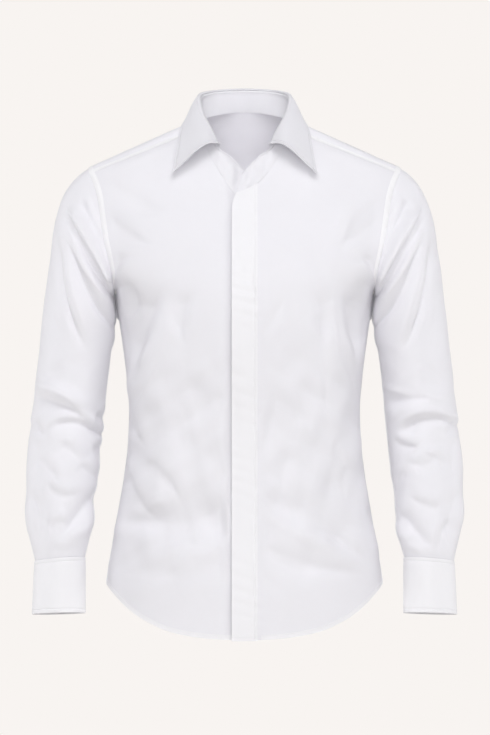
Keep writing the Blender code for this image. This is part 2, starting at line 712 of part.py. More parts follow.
def material(name, colour, roughness):
    """A plain cloth or button material."""
    made = bpy.data.materials.new(name)
    made.use_nodes = True
    shader = made.node_tree.nodes["Principled BSDF"]
    shader.inputs["Base Color"].default_value = (*colour, 1.0)
    shader.inputs["Roughness"].default_value = roughness
    shader.inputs["Metallic"].default_value = 0.0
    return made


def finish_mesh(name, bm, group, colour, roughness):
    """Turns a bmesh into a smooth shaded object of the collection."""
    mesh = bpy.data.meshes.new(name)
    bm.to_mesh(mesh)
    bm.free()
    mesh.shade_smooth()
    obj = bpy.data.objects.new(name, mesh)
    group.objects.link(obj)
    mesh.materials.append(material(name, colour, roughness))
    return obj


def cloth(name, grid, wall, group, tube=False):
    """A piece of cloth: a grid moved to its points and given its wall on both sides."""
    rows, columns = grid.shape[:2]
    bm = bmesh.new()
    bmesh.ops.create_grid(bm, x_segments=columns - 1, y_segments=rows - 1, size=1.0)
    for vert in bm.verts:
        column = round((vert.co.x + 1) / 2 * (columns - 1))
        row = round((vert.co.y + 1) / 2 * (rows - 1))
        vert.co = grid[row, column] * MM
    if tube:
        bmesh.ops.remove_doubles(bm, verts=bm.verts[:], dist=0.01 * MM)
    obj = finish_mesh(name, bm, group, WHITE, 0.85)
    solid = obj.modifiers.new("wall", "SOLIDIFY")
    solid.thickness = wall * MM
    solid.offset = 0.0
    solid.use_even_offset = True
    return obj


def button(name, place, facing, group):
    """A round button with an eased rim, centred at a place and facing a way."""
    turn = Vector(facing).to_track_quat("Z", "Y").to_matrix().to_4x4()
    spot = Matrix.Translation(Vector(place) * MM) @ turn
    bm = bmesh.new()
    bmesh.ops.create_cone(bm, cap_ends=True, segments=BUTTON_SIDES, radius1=BUTTON_ACROSS / 2 * MM,
                          radius2=BUTTON_ACROSS / 2 * MM, depth=BUTTON_THICK * MM, matrix=spot)
    obj = finish_mesh(name, bm, group, BUTTON_WHITE, 0.35)
    rim = obj.modifiers.new("rim", "BEVEL")
    rim.width = BUTTON_RIM * MM
    rim.segments = 1
    rim.limit_method = "ANGLE"
    return obj


def build():
    """Makes every piece of the shirt."""
    for old in list(bpy.data.objects):
        bpy.data.objects.remove(old, do_unlink=True)
    group = collection(COLLECTION)

    left, right, yoke = front_grid("left"), front_grid("right"), yoke_grid()
    stand = stand_grid(left, right, yoke)
    mirror = np.array([-1.0, 1.0, 1.0])
    cloth("front_left", inset(left, ("right", "top")), CLOTH_WALL, group)
    cloth("front_right", inset(right, ("right", "top")) * mirror, CLOTH_WALL, group)
    cloth("back_panel", inset(back_grid(), ("left", "right", "top")), CLOTH_WALL, group)
    cloth("yoke", inset(yoke, ("left", "right", "top", "bottom")), CLOTH_WALL, group)
    cloth("placket", inset(placket_grid(left), ("top",)), PLACKET_WALL, group)
    cloth("collar_stand", stand, STAND_WALL, group)
    cloth("collar_leaf", leaf_grid(stand), LEAF_WALL, group)
    for number in range(FRONT_BUTTONS):
        button(f"front_button_{number + 1}", *front_button(number), group)
    button("collar_button", *collar_button(stand), group)

    sleeve, cuff = sleeve_grid(), cuff_grid()
    strip = sleeve_placket_grid(sleeve)
    spot, facing = cuff_button()
    for side, flip in (("left", np.ones(3)), ("right", mirror)):
        cloth("sleeve_" + side, sleeve * flip, CLOTH_WALL, group, tube=True)
        cloth("cuff_" + side, cuff * flip, CUFF_WALL, group)
        cloth("sleeve_placket_" + side, strip * flip, CLOTH_WALL, group)
        button("cuff_button_" + side, spot * flip, facing * flip, group)


build()
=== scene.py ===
import json
import math

import bpy
import numpy as np
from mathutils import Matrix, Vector

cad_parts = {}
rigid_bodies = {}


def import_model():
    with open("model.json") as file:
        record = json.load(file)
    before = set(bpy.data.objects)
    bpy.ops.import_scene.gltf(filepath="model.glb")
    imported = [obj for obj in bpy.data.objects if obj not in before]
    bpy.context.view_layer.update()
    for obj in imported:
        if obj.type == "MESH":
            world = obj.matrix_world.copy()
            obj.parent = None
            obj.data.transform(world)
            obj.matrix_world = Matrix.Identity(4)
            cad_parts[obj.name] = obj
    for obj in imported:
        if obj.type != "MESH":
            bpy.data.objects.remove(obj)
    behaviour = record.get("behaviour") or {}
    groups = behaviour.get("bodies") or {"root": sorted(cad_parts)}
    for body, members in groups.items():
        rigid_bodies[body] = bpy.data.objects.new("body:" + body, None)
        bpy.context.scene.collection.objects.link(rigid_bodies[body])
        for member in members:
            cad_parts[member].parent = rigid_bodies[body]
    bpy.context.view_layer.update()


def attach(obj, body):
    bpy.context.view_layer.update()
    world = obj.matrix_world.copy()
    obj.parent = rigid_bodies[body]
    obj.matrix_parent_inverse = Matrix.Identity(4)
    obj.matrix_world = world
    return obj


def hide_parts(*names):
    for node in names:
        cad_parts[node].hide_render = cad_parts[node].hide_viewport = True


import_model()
print("frame loaded")

# Lengths in the tables are millimetres. X is the shirt's own left, -Y its front and +Z up. Left
# pieces are worked out first, and the right ones are their mirror images with their own creases.
mm = 0.001
mirrorX = np.array([-1.0, 1.0, 1.0])
fine = 8                  # cells of these grids to one segment of a seam
clothWall = 1.2           # wall of the solids, which sets where one layer lies on another
shellWall = 0.7           # wall of a single layer here
play = 0.35               # between two layers
seamInset = 0.1           # keeps two panels' edges apart
ringPower = 2.3
armpitZ, shoulderTipZ, backYokeZ = -236, -62.5, -84
yokeNeck, yokeTip = (62, -8), (219.5, -71)
hemCentreZ, hemSideZ = -721, -649

segments = {"fold": 5, "neck": 3, "yokeSeam": 7, "side": 15, "frontArmhole": 10,
            "yokeArmhole": 5, "backArmhole": 9, "backHalf": 11, "head": 6, "sleeve": 20}
segments = {key: count * fine for key, count in segments.items()}

body = {
    "z": (30, 22, 9.4, 0, -8, -28, -46, -62.5, -74, -88, -105, -130, -155, -180, -200,
          -220, -236, -262, -311, -360, -405, -447, -490, -549, -600, -649, -735),
    "halfWidth": (20, 37, 65, 86, 103.8, 148.4, 188.4, 222, 231, 234, 234.5, 232, 227,
                  219, 210, 197, 182.5, 179.5, 172.5, 166.5, 163.3, 164.7, 169.3,
                  179, 188, 195.3, 197),
    "front": (7, 12, 20, 25, 28.5, 40, 47, 53, 57, 62.5, 71, 85, 98, 109, 115,
              119, 120.5, 121, 118, 111, 104.5, 102, 102, 105, 108, 110, 112),
    "back": (45, 50, 57, 62, 66, 77, 85.5, 91.5, 95, 98.5, 102, 106, 108.5, 110, 110,
             109, 107, 103, 94, 84.5, 79, 79, 84, 92, 98, 101, 103),
}
armholeLine = {
    "z": (-236, -232, -226, -214, -192, -163, -130, -106, -84, -71, -62.5),
    "x": (182.5, 183.2, 184.0, 186.0, 191.0, 198.0, 203.5, 207.5, 214.0, 219.5, 222.0),
}
hemLine = {
    "x": (-50, 0, 50, 99, 138, 162, 179, 195.3),
    "z": (-718.5, hemCentreZ, -718.5, -711, -695.5, -680, -665, hemSideZ),
}
backNeck = {
    "x": (65, 61.5, 52.5, 39, 25, 12, 0, -12),
    "z": (9.4, 10.4, 13.3, 17.3, 20.3, 21.7, 22, 21.7),
}
# Each front's neck seam, and its straight columns by their share of the way to endX
fronts = {
    "left": {
        "x": (-11.5, 0, 10, 20, 28, 36, 43.5, 50.5, 57, 62),
        "z": (-100.5, -96, -91.5, -85, -76.5, -65.5, -54.5, -42, -26, -8),
        "endX": 18, "share": (0, 1 / 3, 2 / 3, 1),
    },
    "right": {
        "x": (-15, -3, 8, 15, 21, 28, 36, 43.5, 50.5, 57, 62),
        "z": (-111, -107, -103, -98.5, -91.5, -81, -68.5, -56, -42.5, -26, -8),
        "endX": 36, "share": (0, 0.3, 0.53, 0.765, 1),
    },
}
placketEdge = {
    "z": (-90, -100.5, -107, -114, -122, -132),
    "x": (-7.5, -11.5, -14.3, -16.4, -17.5, -17.7),
}
foldEndX, underlapX = 43.5, 15
dip = {"deep": 4.8, "fullX": 11, "startX": 31, "stand": 1.75, "standX": 36, "standOver": 24}

# Creases: start and end in the front view, how far the middle bows to the run's right, half width,
# depth, height of the ridge beside it (on the run's right where positive), and the side or the face
# that it is on
frontCreases = (
    (192, -134, 138, -170, -3, 12, -3.2, 1.5, "both"),
    (192, -84, 118, -124, -5, 15, -2.8, 1.2, "right"),
    (194, -112, 140, -168, 6, 11, -2.4, 1.4, "left"),
    (166, -190, 182, -222, -6, 6, -2.2, 1.0, "both"),
    (126, -246, 156, -338, -5, 21, -15.0, 2.6, "right"),
    (102, -246, 142, -386, 8, 6, 1.5, 0, "right"),
    (80, -248, 87, -300, -3, 13, -6.4, 1.0, "right"),
    (157, -234, 168, -276, 3, 9, -4.4, 0.9, "right"),
    (147, -246, 158, -320, -3, 18, -12.0, 1.8, "left"),
    (103, -248, 109, -304, -3, 13, -7.6, 1.2, "left"),
    (124, -244, 127, -312, 2, 6, 1.8, 0, "left"),
    (128, -262, 156, -372, 5, 6, -1.7, 1.2, "left"),
    (92, -250, 113, -398, -4, 7, -1.9, 1.4, "left"),
    (22, -300, 52, -254, 3, 8, -1.5, 0.8, "left"),
    (160, -390, 146, -446, -6, 9, -3.0, 1.0, "right"),
    (138, -474, 94, -518, 4, 8, -2.6, 1.6, "right"),
    (164, -486, 130, -550, -7, 9, -3.4, 1.8, "right"),
    (176, -420, 162, -505, -4, 7, -1.4, 0.6, "both"),
    (8, -564, 158, -560, -5, 26, -13.0, 0, "right"),
    (24, -624, 110, -632, -5, 16, -2.2, 0, "right"),
    (156, -612, 60, -600, 5, 17, 2.0, 0, "right"),
    (128, -446, 136, -476, 4, 6, -1.5, 0.7, "left"),
    (146, -480, 140, -522, 3, 6, -1.3, 0.6, "left"),
    (26, -436, 70, -446, 4, 10, -1.2, 0.6, "left"),
    (22, -520, 150, -596, -8, 17, -9.0, 0, "left"),
    (20, -590, 130, -626, 7, 14, -5.4, 0, "left"),
    (34, -556, 140, -612, -8, 14, 1.6, 0, "left"),
    (30, -385, 90, -420, 6, 16, -1.3, 0.7, "both"),
    (96, -392, 74, -440, 5, 11, -1.1, 0.6, "right"),
    (118, -400, 60, -372, 5, 12, -1.0, 0.6, "left"),
    (60, -640, 160, -632, -6, 14, -1.3, 0.7, "both"),
    (70, -150, 120, -215, 6, 24, -1.0, 0.6, "both"),
)
backCreases = (
    (92, -246, 158, -392, 8, 15, -7.0, 3.0, "both"),
    (60, -262, 96, -372, 6, 11, -3.4, 1.8, "left"),
    (66, -256, 112, -352, 5, 12, -4.0, 1.6, "right"),
    (24, -368, 126, -478, 9, 14, -6.0, 2.6, "both"),
    (40, -430, 150, -520, 8, 12, -3.8, 1.8, "left"),
    (34, -418, 138, -508, 9, 11, -3.0, 1.6, "right"),
    (22, -568, 156, -512, -8, 15, -5.6, 2.4, "both"),
    (28, -618, 160, -580, -7, 13, -3.0, 1.4, "left"),
    (36, -606, 150, -574, -6, 12, -2.4, 1.2, "right"),
    (128, -116, 202, -192, 5, 13, -5.2, 2.0, "both"),
    (112, -150, 184, -226, 6, 10, -3.0, 1.4, "both"),
    (24, -132, 58, -300, 9, 24, 3.4, 0, "both"),
    (150, -404, 166, -470, 4, 8, -3.4, 1.4, "both"),
    (10, -470, 60, -500, 5, 14, -2.2, 1.0, "left"),
    (60, -660, 150, -640, -5, 16, -1.8, 0.8, "both"),
)
sleeveCreases = (
    (258, -122, 204, -222, -1, 8, -3.6, 0, "front"),
    (230, -106, 202, -156, -2, 5, -4.4, 2.6, "front"),
    (238, -150, 184, -246, -3, 5.5, -4.2, 2.6, "front"),
    (256, -152, 190, -282, -4, 6.5, -7.4, 4.6, "front"),
    (266, -158, 233, -296, -6, 6.5, -6.4, 3.8, "front"),
    (240, -172, 203, -240, -3, 5, 1.4, 0, "front"),
    (276, -200, 262, -290, -4, 9, -1.6, 0.8, "front"),
    (300, -384, 228, -412, 3, 8, -8.0, 5.4, "front right"),
    (198, -396, 256, -388, -3, 8, -5.4, 3.4, "front left"),
    (292, -384, 204, -374, -6, 14, 4.6, 0, "front left"),
    (296, -362, 244, -392, 4, 11, 4.0, 0, "front right"),
    (276, -428, 200, -440, 13, 5.4, -6.4, 3.6, "front right"),
    (214, -438, 298, -422, -14, 5.4, -6.6, -3.6, "front left"),
    (212, -414, 196, -418, 2, 7, -4.4, 1.4, "front right"),
    (210, -446, 240, -454, 3, 5, -4.6, -2.0, "front left"),
    (300, -416, 284, -436, -2, 8, -5.0, 1.6, "front"),
    (298, -440, 294, -496, 3, 8, -2.8, -1.0, "front"),
    (214, -460, 199, -456, 0, 6, -3.4, 1.2, "front right"),
    (262, -452, 232, -470, 4, 7, -3.0, 1.6, "front right"),
    (270, -470, 236, -480, -4, 7, -3.0, 1.6, "front left"),
    (294, -470, 262, -500, 3, 6, -3.0, 1.6, "front right"),
    (222, -486, 214, -532, 3, 6, -3.6, 1.8, "front left"),
    (286, -486, 256, -466, 3, 6, -2.6, 1.4, "front left"),
    (232, -480, 210, -500, 2, 6, -3.0, 1.6, "front right"),
    (300, -516, 289, -604, 5, 9, -5.8, -2.4, "front"),
    (206, -516, 250, -574, 3, 7.5, -7.4, 4.6, "front right"),
    (216, -546, 264, -596, 5, 7, -7.4, 4.6, "front left"),
    (278, -506, 238, -522, -7, 6, -3.4, 1.8, "front right"),
    (268, -594, 240, -597, -5, 4.5, -4.0, 2.2, "front right"),
    (276, -570, 246, -560, 3, 7, -3.6, 1.8, "front right"),
    (260, -592, 286, -592, 4, 4.5, -4.0, 2.2, "front left"),
    (226, -586, 250, -600, -4, 5, -4.4, 2.2, "front left"),
    (292, -556, 274, -602, 6, 6, -4.6, 2.4, "front left"),
    (226, -598, 240, -613, -2, 5, -3.4, 1.4, "front right"),
    (276, -540, 236, -528, -3, 7, -3.2, 1.6, "front left"),
    (286, -330, 208, -372, 5, 17, 1.8, 0, "front"),
    (250, -330, 226, -366, 4, 18, -1.4, 0.8, "front"),
    (304, -372, 228, -404, 5, 9, -7.4, 3.6, "back"),
    (300, -402, 236, -424, 4, 6, -3.8, 1.8, "back"),
    (210, -416, 294, -452, 6, 8, -6.6, -3.0, "back"),
    (216, -452, 280, -478, 5, 8, -3.4, -1.6, "back"),
    (250, -124, 206, -236, -6, 9, -4.6, 2.2, "back"),
    (268, -150, 232, -258, -7, 9, -3.6, 1.8, "back"),
    (244, -118, 216, -168, -4, 6, -3.0, 1.4, "back"),
    (296, -518, 232, -574, 5, 10, -5.6, 2.6, "back"),
    (220, -540, 266, -596, 4, 8, -3.6, 1.8, "back"),
    (296, -566, 262, -606, 3, 8, -3.2, 1.4, "back"),
    (286, -280, 226, -330, 6, 18, -2.2, 1.2, "back"),
)
# Start and end of a fold that laps over, its bow, how far it reaches on its right and its height
sleeveTucks = (
    (252, -116, 190, -229, -0.5, 14, 10.5),
)
# How a crease is shaped: its widths on either side of its line, how flat its bell is, and how it
# starts and fades along its run
drape = {"steep": 0.8, "gentle": 1.5, "power": 2.0, "head": 0.22, "blunt": 1.25, "open": 0, "tail": 0.6}
pinch = {"steep": 0.9, "gentle": 2.0, "power": 1.4, "head": 0.02, "blunt": 1.0, "open": 0.3, "tail": 0.5}
creaseShape = {"endWidth": 0.4, "narrowOver": 0.5, "round": 0.1, "ridgeAway": 1.9, "ridgeWide": 1.3,
               "bowBeyond": -0.2, "startLeft": 0.12}
tuckShape = {"step": 1.8, "open": 0.22, "close": 0.1}
# A seed for each piece's own unevenness, its height, and how far the fronts have worn towards the hem
seeds = {"frontLeft": 4, "frontRight": 5, "backLeft": 2.0, "backRight": 4.7, "sleeveLeft": 5,
         "sleeveRight": 4, "stand": 5}
wear = {"least": 0.35, "more": 3.0, "from": -280, "over": 110, "hem": -700, "hemOver": 140,
        "small": 0.14, "placketX": 18, "placketOver": 16, "elsewhere": 0.5, "heldCells": 1.2}
underArm = {"y": 34, "z": -257, "acrossY": 15, "acrossZ": 21, "height": 12}

arm = {
    "outerX": (269, 277, 283, 289, 296.5, 304.5, 308.5, 308.5, 302, 294.3, 295, 298),
    "outerZ": (-140, -183, -232, -290, -358, -428, -496, -545, -582, -616.2, -616.9, -690.5),
    "innerX": (186, 187, 188.5, 191, 196.8, 203, 209.8, 215, 220, 225.3, 224.6, 223.6),
    "innerZ": (-266, -281, -299, -322, -372, -440, -506, -551, -587, -610.2, -610.9, -688.5),
    "centreY": (5, 6, 7, 8, 8, 5, -8, -19, -28, -34.5, -34.6, -43.5),
    "halfDepth": (68.5, 67.5, 66, 63, 60, 58, 53.5, 49, 44, 34.8, 35.4, 37.3),
    "lean": (0, 0, 1, 2, 4, 6, 7, 7, 7, 7, 7, 7),
}
sleeveEnd, cuffTop, cuffBottom = 9, 10, 11


# Slopes of the smooth curve through a table that never overshoots its rows
def slopesOf(x, y):
    step, rise = np.diff(x), np.diff(y)
    chord = rise / step
    weightA, weightB = 2 * step[1:] + step[:-1], step[1:] + 2 * step[:-1]
    same = chord[:-1] * chord[1:] > 0
    slope = np.zeros(len(x))
    with np.errstate(divide="ignore", invalid="ignore"):
        inner = (weightA + weightB) / (weightA / chord[:-1] + weightB / chord[1:])
    slope[1:-1] = np.where(same, inner, 0.0)
    slope[0], slope[-1] = chord[0], chord[-1]
    return slope


# Value of a table at each place: the cubic of each step, from its two ends and their slopes
def readTable(x, y, at):
    x, y, at = np.asarray(x, float), np.asarray(y, float), np.asarray(at, float)
    if x[0] > x[-1]:
        x, y = x[::-1], y[::-1]
    slope = slopesOf(x, y)
    at = np.clip(at, x[0], x[-1])
    i = np.clip(np.searchsorted(x, at) - 1, 0, len(x) - 2)
    step = x[i + 1] - x[i]
    t = (at - x[i]) / step
    start = (1 + 2 * t) * (1 - t) ** 2 * y[i] + t * (1 - t) ** 2 * step * slope[i]
    end = t * t * (3 - 2 * t) * y[i + 1] + t * t * (t - 1) * step * slope[i + 1]
    return start + end


# 0 below 0, 1 above 1, and 3t^2 - 2t^3 between
def ease(t):
    t = np.clip(t, 0.0, 1.0)
    return t * t * (3 - 2 * t)


# Vectors over their own lengths
def unit(vectors):
    return vectors / np.linalg.norm(vectors, axis=-1, keepdims=True)


# Directions with their share along the line taken out
def squareTo(vectors, line):
    along = unit(np.gradient(line, axis=0))
    return unit(vectors - np.sum(vectors * along, axis=1, keepdims=True) * along)


# Length from the first point of a line, or down each column of a grid
def runOf(points):
    steps = np.linalg.norm(np.diff(points, axis=0), axis=-1)
    return np.concatenate([np.zeros((1,) + steps.shape[1:]), np.cumsum(steps, axis=0)])


# Share of a line's length at each of its points
def runShare(points):
    run = runOf(points)
    return run / run[-1]


# Points of a line at these places of its run
def alongLine(at, run, line):
    return np.stack([np.interp(at, run, column) for column in line.T], axis=1)


# A half and its mirror image, joined at the last point of each row
def whole(half, other=None):
    other = half if other is None else other
    return np.concatenate([half, other[..., -2::-1, :] * mirrorX], axis=-2)


# Running mean along the first axis, with the ends carried on
def smoothed(values, reach):
    kernel = np.ones(2 * reach + 1) / (2 * reach + 1)
    padded = np.concatenate([np.repeat(values[:1], reach, 0), values, np.repeat(values[-1:], reach, 0)])
    return np.stack([np.convolve(column, kernel, "valid") for column in padded.T], axis=1)


# Half width and depths of the body at a height
def bodySizes(z):
    return [readTable(body["z"], body[key], z) for key in ("halfWidth", "front", "back")]


# Superellipse ring: x and y are the half width and the depth times |sin| and |cos| to 2 / ringPower
def bodyPoint(seam):
    angle, z = seam[..., 0], seam[..., 1]
    halfWidth, front, back = bodySizes(z)
    sine, cosine = np.sin(np.radians(angle)), np.cos(np.radians(angle))
    power = 2 / ringPower
    x = halfWidth * np.sign(sine) * np.abs(sine) ** power
    y = -np.where(cosine > 0, front, back) * np.sign(cosine) * np.abs(cosine) ** power
    return np.stack([x, y, z + 0 * x], axis=-1)


# Unit gradient of |x / width|^p + |y / depth|^p, from steps of 1 mm each way
def bodyNormal(points):
    def level(p):
        halfWidth, front, back = bodySizes(p[..., 2])
        depth = np.where(p[..., 1] < 0, front, back)
        return (np.abs(p[..., 0] / halfWidth) ** ringPower
                + np.abs(p[..., 1] / depth) ** ringPower)
    rise = [level(points + axis) - level(points - axis) for axis in np.eye(3)]
    return unit(np.stack(rise, axis=-1))


# Angle round the body of a place at this distance from the centre
def angleAt(x, z, behind=False):
    part = np.clip(np.abs(x) / bodySizes(z)[0], 0, 1) ** (ringPower / 2)
    angle = np.degrees(np.arcsin(part)) * np.sign(x)
    return 180 - angle if behind else angle


# Front-view places as angles and heights
def seamAt(x, z, behind=False):
    x, z = np.asarray(x, float), np.asarray(z, float)
    return np.stack([angleAt(x, z, behind), z], axis=-1)


# The same line of angles and heights in even steps, measured on the body
def evenly(line, count):
    spread = alongLine(np.linspace(0, 1, 900), np.linspace(0, 1, len(line)), line)
    share = runShare(bodyPoint(spread))
    return alongLine(np.linspace(0, 1, count + 1), share, spread)


seamSteps = 240           # points of a seam before it is set in even steps


# The armhole's place at a height, read from its front view
def armholeAt(z, behind=False):
    return seamAt(readTable(armholeLine["z"], armholeLine["x"], z), z, behind)


# Armhole from the armpit up to the yoke, in steps that shorten towards the armpit
def armholeSeam(behind):
    stop = backYokeZ if behind else yokeTip[1]
    z = armpitZ + (stop - armpitZ) * np.linspace(0, 1, seamSteps) ** 1.5
    line = armholeAt(z, behind)
    line[0, 0] = 90.0
    return evenly(line, segments["backArmhole" if behind else "frontArmhole"])


# Top of the armhole, from the front yoke seam over the shoulder tip to the back
def yokeArmhole():
    near = np.linspace(0, 1, seamSteps) ** 2
    frontZ = shoulderTipZ + (yokeTip[1] - shoulderTipZ) * near[::-1]
    backZ = shoulderTipZ + (backYokeZ - shoulderTipZ) * near
    line = np.concatenate([armholeAt(frontZ)[:-1], armholeAt(backZ, True)])
    return evenly(line, segments["yokeArmhole"])


# Straight in the front view from the neck to the armhole
def frontYokeSeam():
    x = np.linspace(yokeNeck[0], yokeTip[0], seamSteps)
    z = np.linspace(yokeNeck[1], yokeTip[1], seamSteps)
    return evenly(seamAt(x, z), segments["yokeSeam"])


# Level round the back from the armhole to the centre
def backYokeSeam():
    start = armholeSeam(True)[-1]
    angle = np.linspace(start[0], 180, seamSteps)
    return evenly(np.stack([angle, np.full(seamSteps, start[1])], axis=1), segments["backHalf"])


# Straight down at 90 degrees, from the hem up to the armpit
def sideSeam():
    z = np.linspace(hemSideZ, armpitZ, segments["side"] + 1)
    return np.stack([np.full(len(z), 90.0), z], axis=1)


# A front's neck seam between two distances from the centre, from its own table
def neckSeam(plan, xFrom, xTo, count):
    x = np.linspace(xFrom, xTo, seamSteps)
    return evenly(seamAt(x, readTable(plan["x"], plan["z"], x)), count)


# The yoke's neck: a straight line over the shoulder, then the back neck's table to the centre
def yokeNeckSeam(count):
    frontX = np.linspace(yokeNeck[0], backNeck["x"][0], seamSteps // 3)
    frontZ = np.linspace(yokeNeck[1], backNeck["z"][0], seamSteps // 3)
    backX = np.linspace(backNeck["x"][0], 0, seamSteps)
    back = seamAt(backX, readTable(backNeck["x"], backNeck["z"], backX), True)
    back[0, 0] = 90.0
    return evenly(np.concatenate([seamAt(frontX, frontZ)[:-1], back]), count)


# Shirt-tail hem between two angles, read from its front view
def hemSeam(angleFrom, angleTo, count):
    angle = np.linspace(angleFrom, angleTo, seamSteps)
    spread = np.abs(np.sin(np.radians(angle))) ** (2 / ringPower) * hemLine["x"][-1]
    return evenly(np.stack([angle, readTable(hemLine["x"], hemLine["z"], spread)], axis=1), count)


# Coons patch: the sides' blend plus the ends' blend minus the corners' blend
def stretched(bottom, top, left, right):
    u = np.linspace(0, 1, len(bottom))[None, :, None]
    v = np.linspace(0, 1, len(left))[:, None, None]
    sides = (1 - u) * left[:, None] + u * right[:, None]
    ends = (1 - v) * bottom[None] + v * top[None]
    corners = ((1 - u) * (1 - v) * bottom[0] + u * (1 - v) * bottom[-1]
               + (1 - u) * v * top[0] + u * v * top[-1])
    return sides + ends - corners


# Cross product of the grid's two slopes. A tube's columns are carried on past its seam.
def normalsOf(grid, tube=False):
    if tube:
        grid = np.concatenate([grid[:, -3:-1], grid, grid[:, 1:3]], axis=1)
    normal = unit(np.cross(np.gradient(grid, axis=1), np.gradient(grid, axis=0)))
    return normal[:, 2:-2] if tube else normal


# Share of the way along a bowed line, how far off it on the run's right, and its length. The bow is
# a parabola that is bow high at the middle.
def alongAndOff(x, z, ends, bow, beyond):
    x0, z0, x1, z1 = ends
    run = np.array([x1 - x0, z1 - z0], float)
    length = np.linalg.norm(run)
    along = ((x - x0) * run[0] + (z - z0) * run[1]) / length ** 2
    off = ((x - x0) * run[1] - (z - z0) * run[0]) / length
    return along, off - 4 * bow * np.clip(along * (1 - along), beyond, 1), length


# Sum of the creases at each place of the front view. Each is a bell across its own bowed line, steep
# on one side and gentle on the other, with a lower round bell beside its steep side. It starts with
# a round head, and narrows and fades to its end.
def creaseLift(x, z, table, places, profile):
    shape = creaseShape
    lift = np.zeros(x.shape)
    for *ends, bow, width, depth, lip, place in table:
        if place not in places:
            continue
        along, off, length = alongAndOff(x, z, ends, bow, shape["bowBeyond"])
        gentle = profile["gentle"] if lip else 1.0
        reach = width * np.where(off * np.sign(lip) > 0, profile["steep"], gentle)
        narrow = ease((1 - along) / shape["narrowOver"])
        reach = reach * (shape["endWidth"] + (1 - shape["endWidth"]) * narrow)
        before = np.clip(profile["head"] - along, 0, None) * length / (profile["blunt"] * width)
        far = np.hypot(np.hypot(off, shape["round"] * width) / reach, before)
        bell = depth * np.exp(-far ** profile["power"])
        beside = (off - shape["ridgeAway"] * width * np.sign(lip)) / (shape["ridgeWide"] * width)
        ridge = abs(lip) * np.exp(-beside ** 2 - before ** 2)
        fade = ease((1 - along) / profile["tail"] + 0.5)
        if profile["open"]:
            fade = fade * ease(along / profile["open"] + shape["startLeft"])
        lift += (bell + ridge) * fade
    return lift


# A fold that laps over: a sharp step up across its bowed line, then a long fall on the run's right
def tuckLift(x, z, table):
    lift = np.zeros(x.shape)
    for *ends, bow, reach, height in table:
        along, off, length = alongAndOff(x, z, ends, bow, 0)
        fall = ease(off / tuckShape["step"] + 0.5) * np.exp(-np.clip(off / reach, 0, None) ** 2)
        fade = ease(along / tuckShape["open"]) * ease((1 - along) / tuckShape["close"])
        lift += height * fall * fade
    return lift


# Slow unevenness of worn cotton: three waves that cross each other at odd angles
def rumple(x, z, height, seed):
    wave = (np.sin(x / 23 + z / 61 + seed) * np.sin(z / 37 - x / 83 + 2 * seed)
            + 0.6 * np.sin(x / 13 - z / 29 + 3 * seed) * np.sin(z / 19 + x / 47 + seed)
            + 0.35 * np.sin(x / 7.3 + z / 17 - seed) * np.sin(z / 9.1 - x / 31 + 2 * seed))
    return height * wave


# Holds the creases back over the first cells from the grid's edges. A half has no edge at its last
# column, which is its piece's middle.
def edgeHold(shape, cells, half=False):
    v = np.arange(shape[0])[:, None] / (cells * fine)
    u = np.arange(2 * shape[1] - 1 if half else shape[1])[None, :] / (cells * fine)
    return (ease(v) * ease(v[::-1]) * ease(u) * ease(u[:, ::-1]))[:, :shape[1]]


# Cloth spans the body's sharper bends: each column is a running mean, away from its edges
def eased(grid, half=False):
    hold = edgeHold(grid.shape, 1.5, half)
    grid = grid.copy()
    for axis in (0, 1):
        mean = smoothed(smoothed(grid[..., axis], 10), 8)
        grid[..., axis] += hold * (mean - grid[..., axis])
    return grid


# Moves the named edges inwards along the cloth
def insetEdges(grid, edges, amount=seamInset):
    grid = grid.copy()
    views = {
        "bottom": (grid[0], grid[1]), "top": (grid[-1], grid[-2]),
        "left": (grid[:, 0], grid[:, 1]), "right": (grid[:, -1], grid[:, -2]),
    }
    for name in edges:
        edge, inner = views[name]
        edge += amount * unit(inner - edge)
    return grid


# The grid turned so that the named edge is its first row
def fromEdge(grid, edge):
    turned = {"bottom": grid, "top": grid[::-1], "left": grid.swapaxes(0, 1),
              "right": grid[:, ::-1].swapaxes(0, 1)}
    return turned[edge]


# Line at a distance inwards from the first row: each column's length is read off between its rows
def inward(grid, distance, values=None):
    values = grid if values is None else values
    run = runOf(grid)
    row = np.clip((run < distance).sum(axis=0) - 1, 0, len(grid) - 2)
    column = np.arange(grid.shape[1])
    part = (distance - run[row, column]) / (run[row + 1, column] - run[row, column])
    return values[row, column] + part[:, None] * (values[row + 1, column] - values[row, column])


# A bell across the lines that run at this distance from the named edges: exp of minus the square of
# the way from the line over the reach
def edgeBell(grid, edges, distance, reach):
    bell = np.zeros(grid.shape[:2])
    for edge in edges:
        away = (runOf(fromEdge(grid, edge)) - distance) / reach
        near = fromEdge(bell, edge)
        near[:] = np.maximum(near, np.exp(-away ** 2))
    return bell


# Seam valley: panel edges sink a little where they are sewn to the next panel
def sunkEdges(grid, edges, normal, depth=0.55, reach=2.6):
    return grid - depth * edgeBell(grid, edges, 0, reach)[..., None] * normal


# The grid put back from its turned form
def toEdge(turned, edge):
    put = {"bottom": turned, "top": turned[::-1], "left": turned.swapaxes(0, 1),
           "right": turned.swapaxes(0, 1)[:, ::-1]}
    return put[edge]


groove = {"beside": (-1.3, -0.6, 0.0, 0.6, 1.3), "free": 0.6, "depth": 0.5, "reach": 0.62}


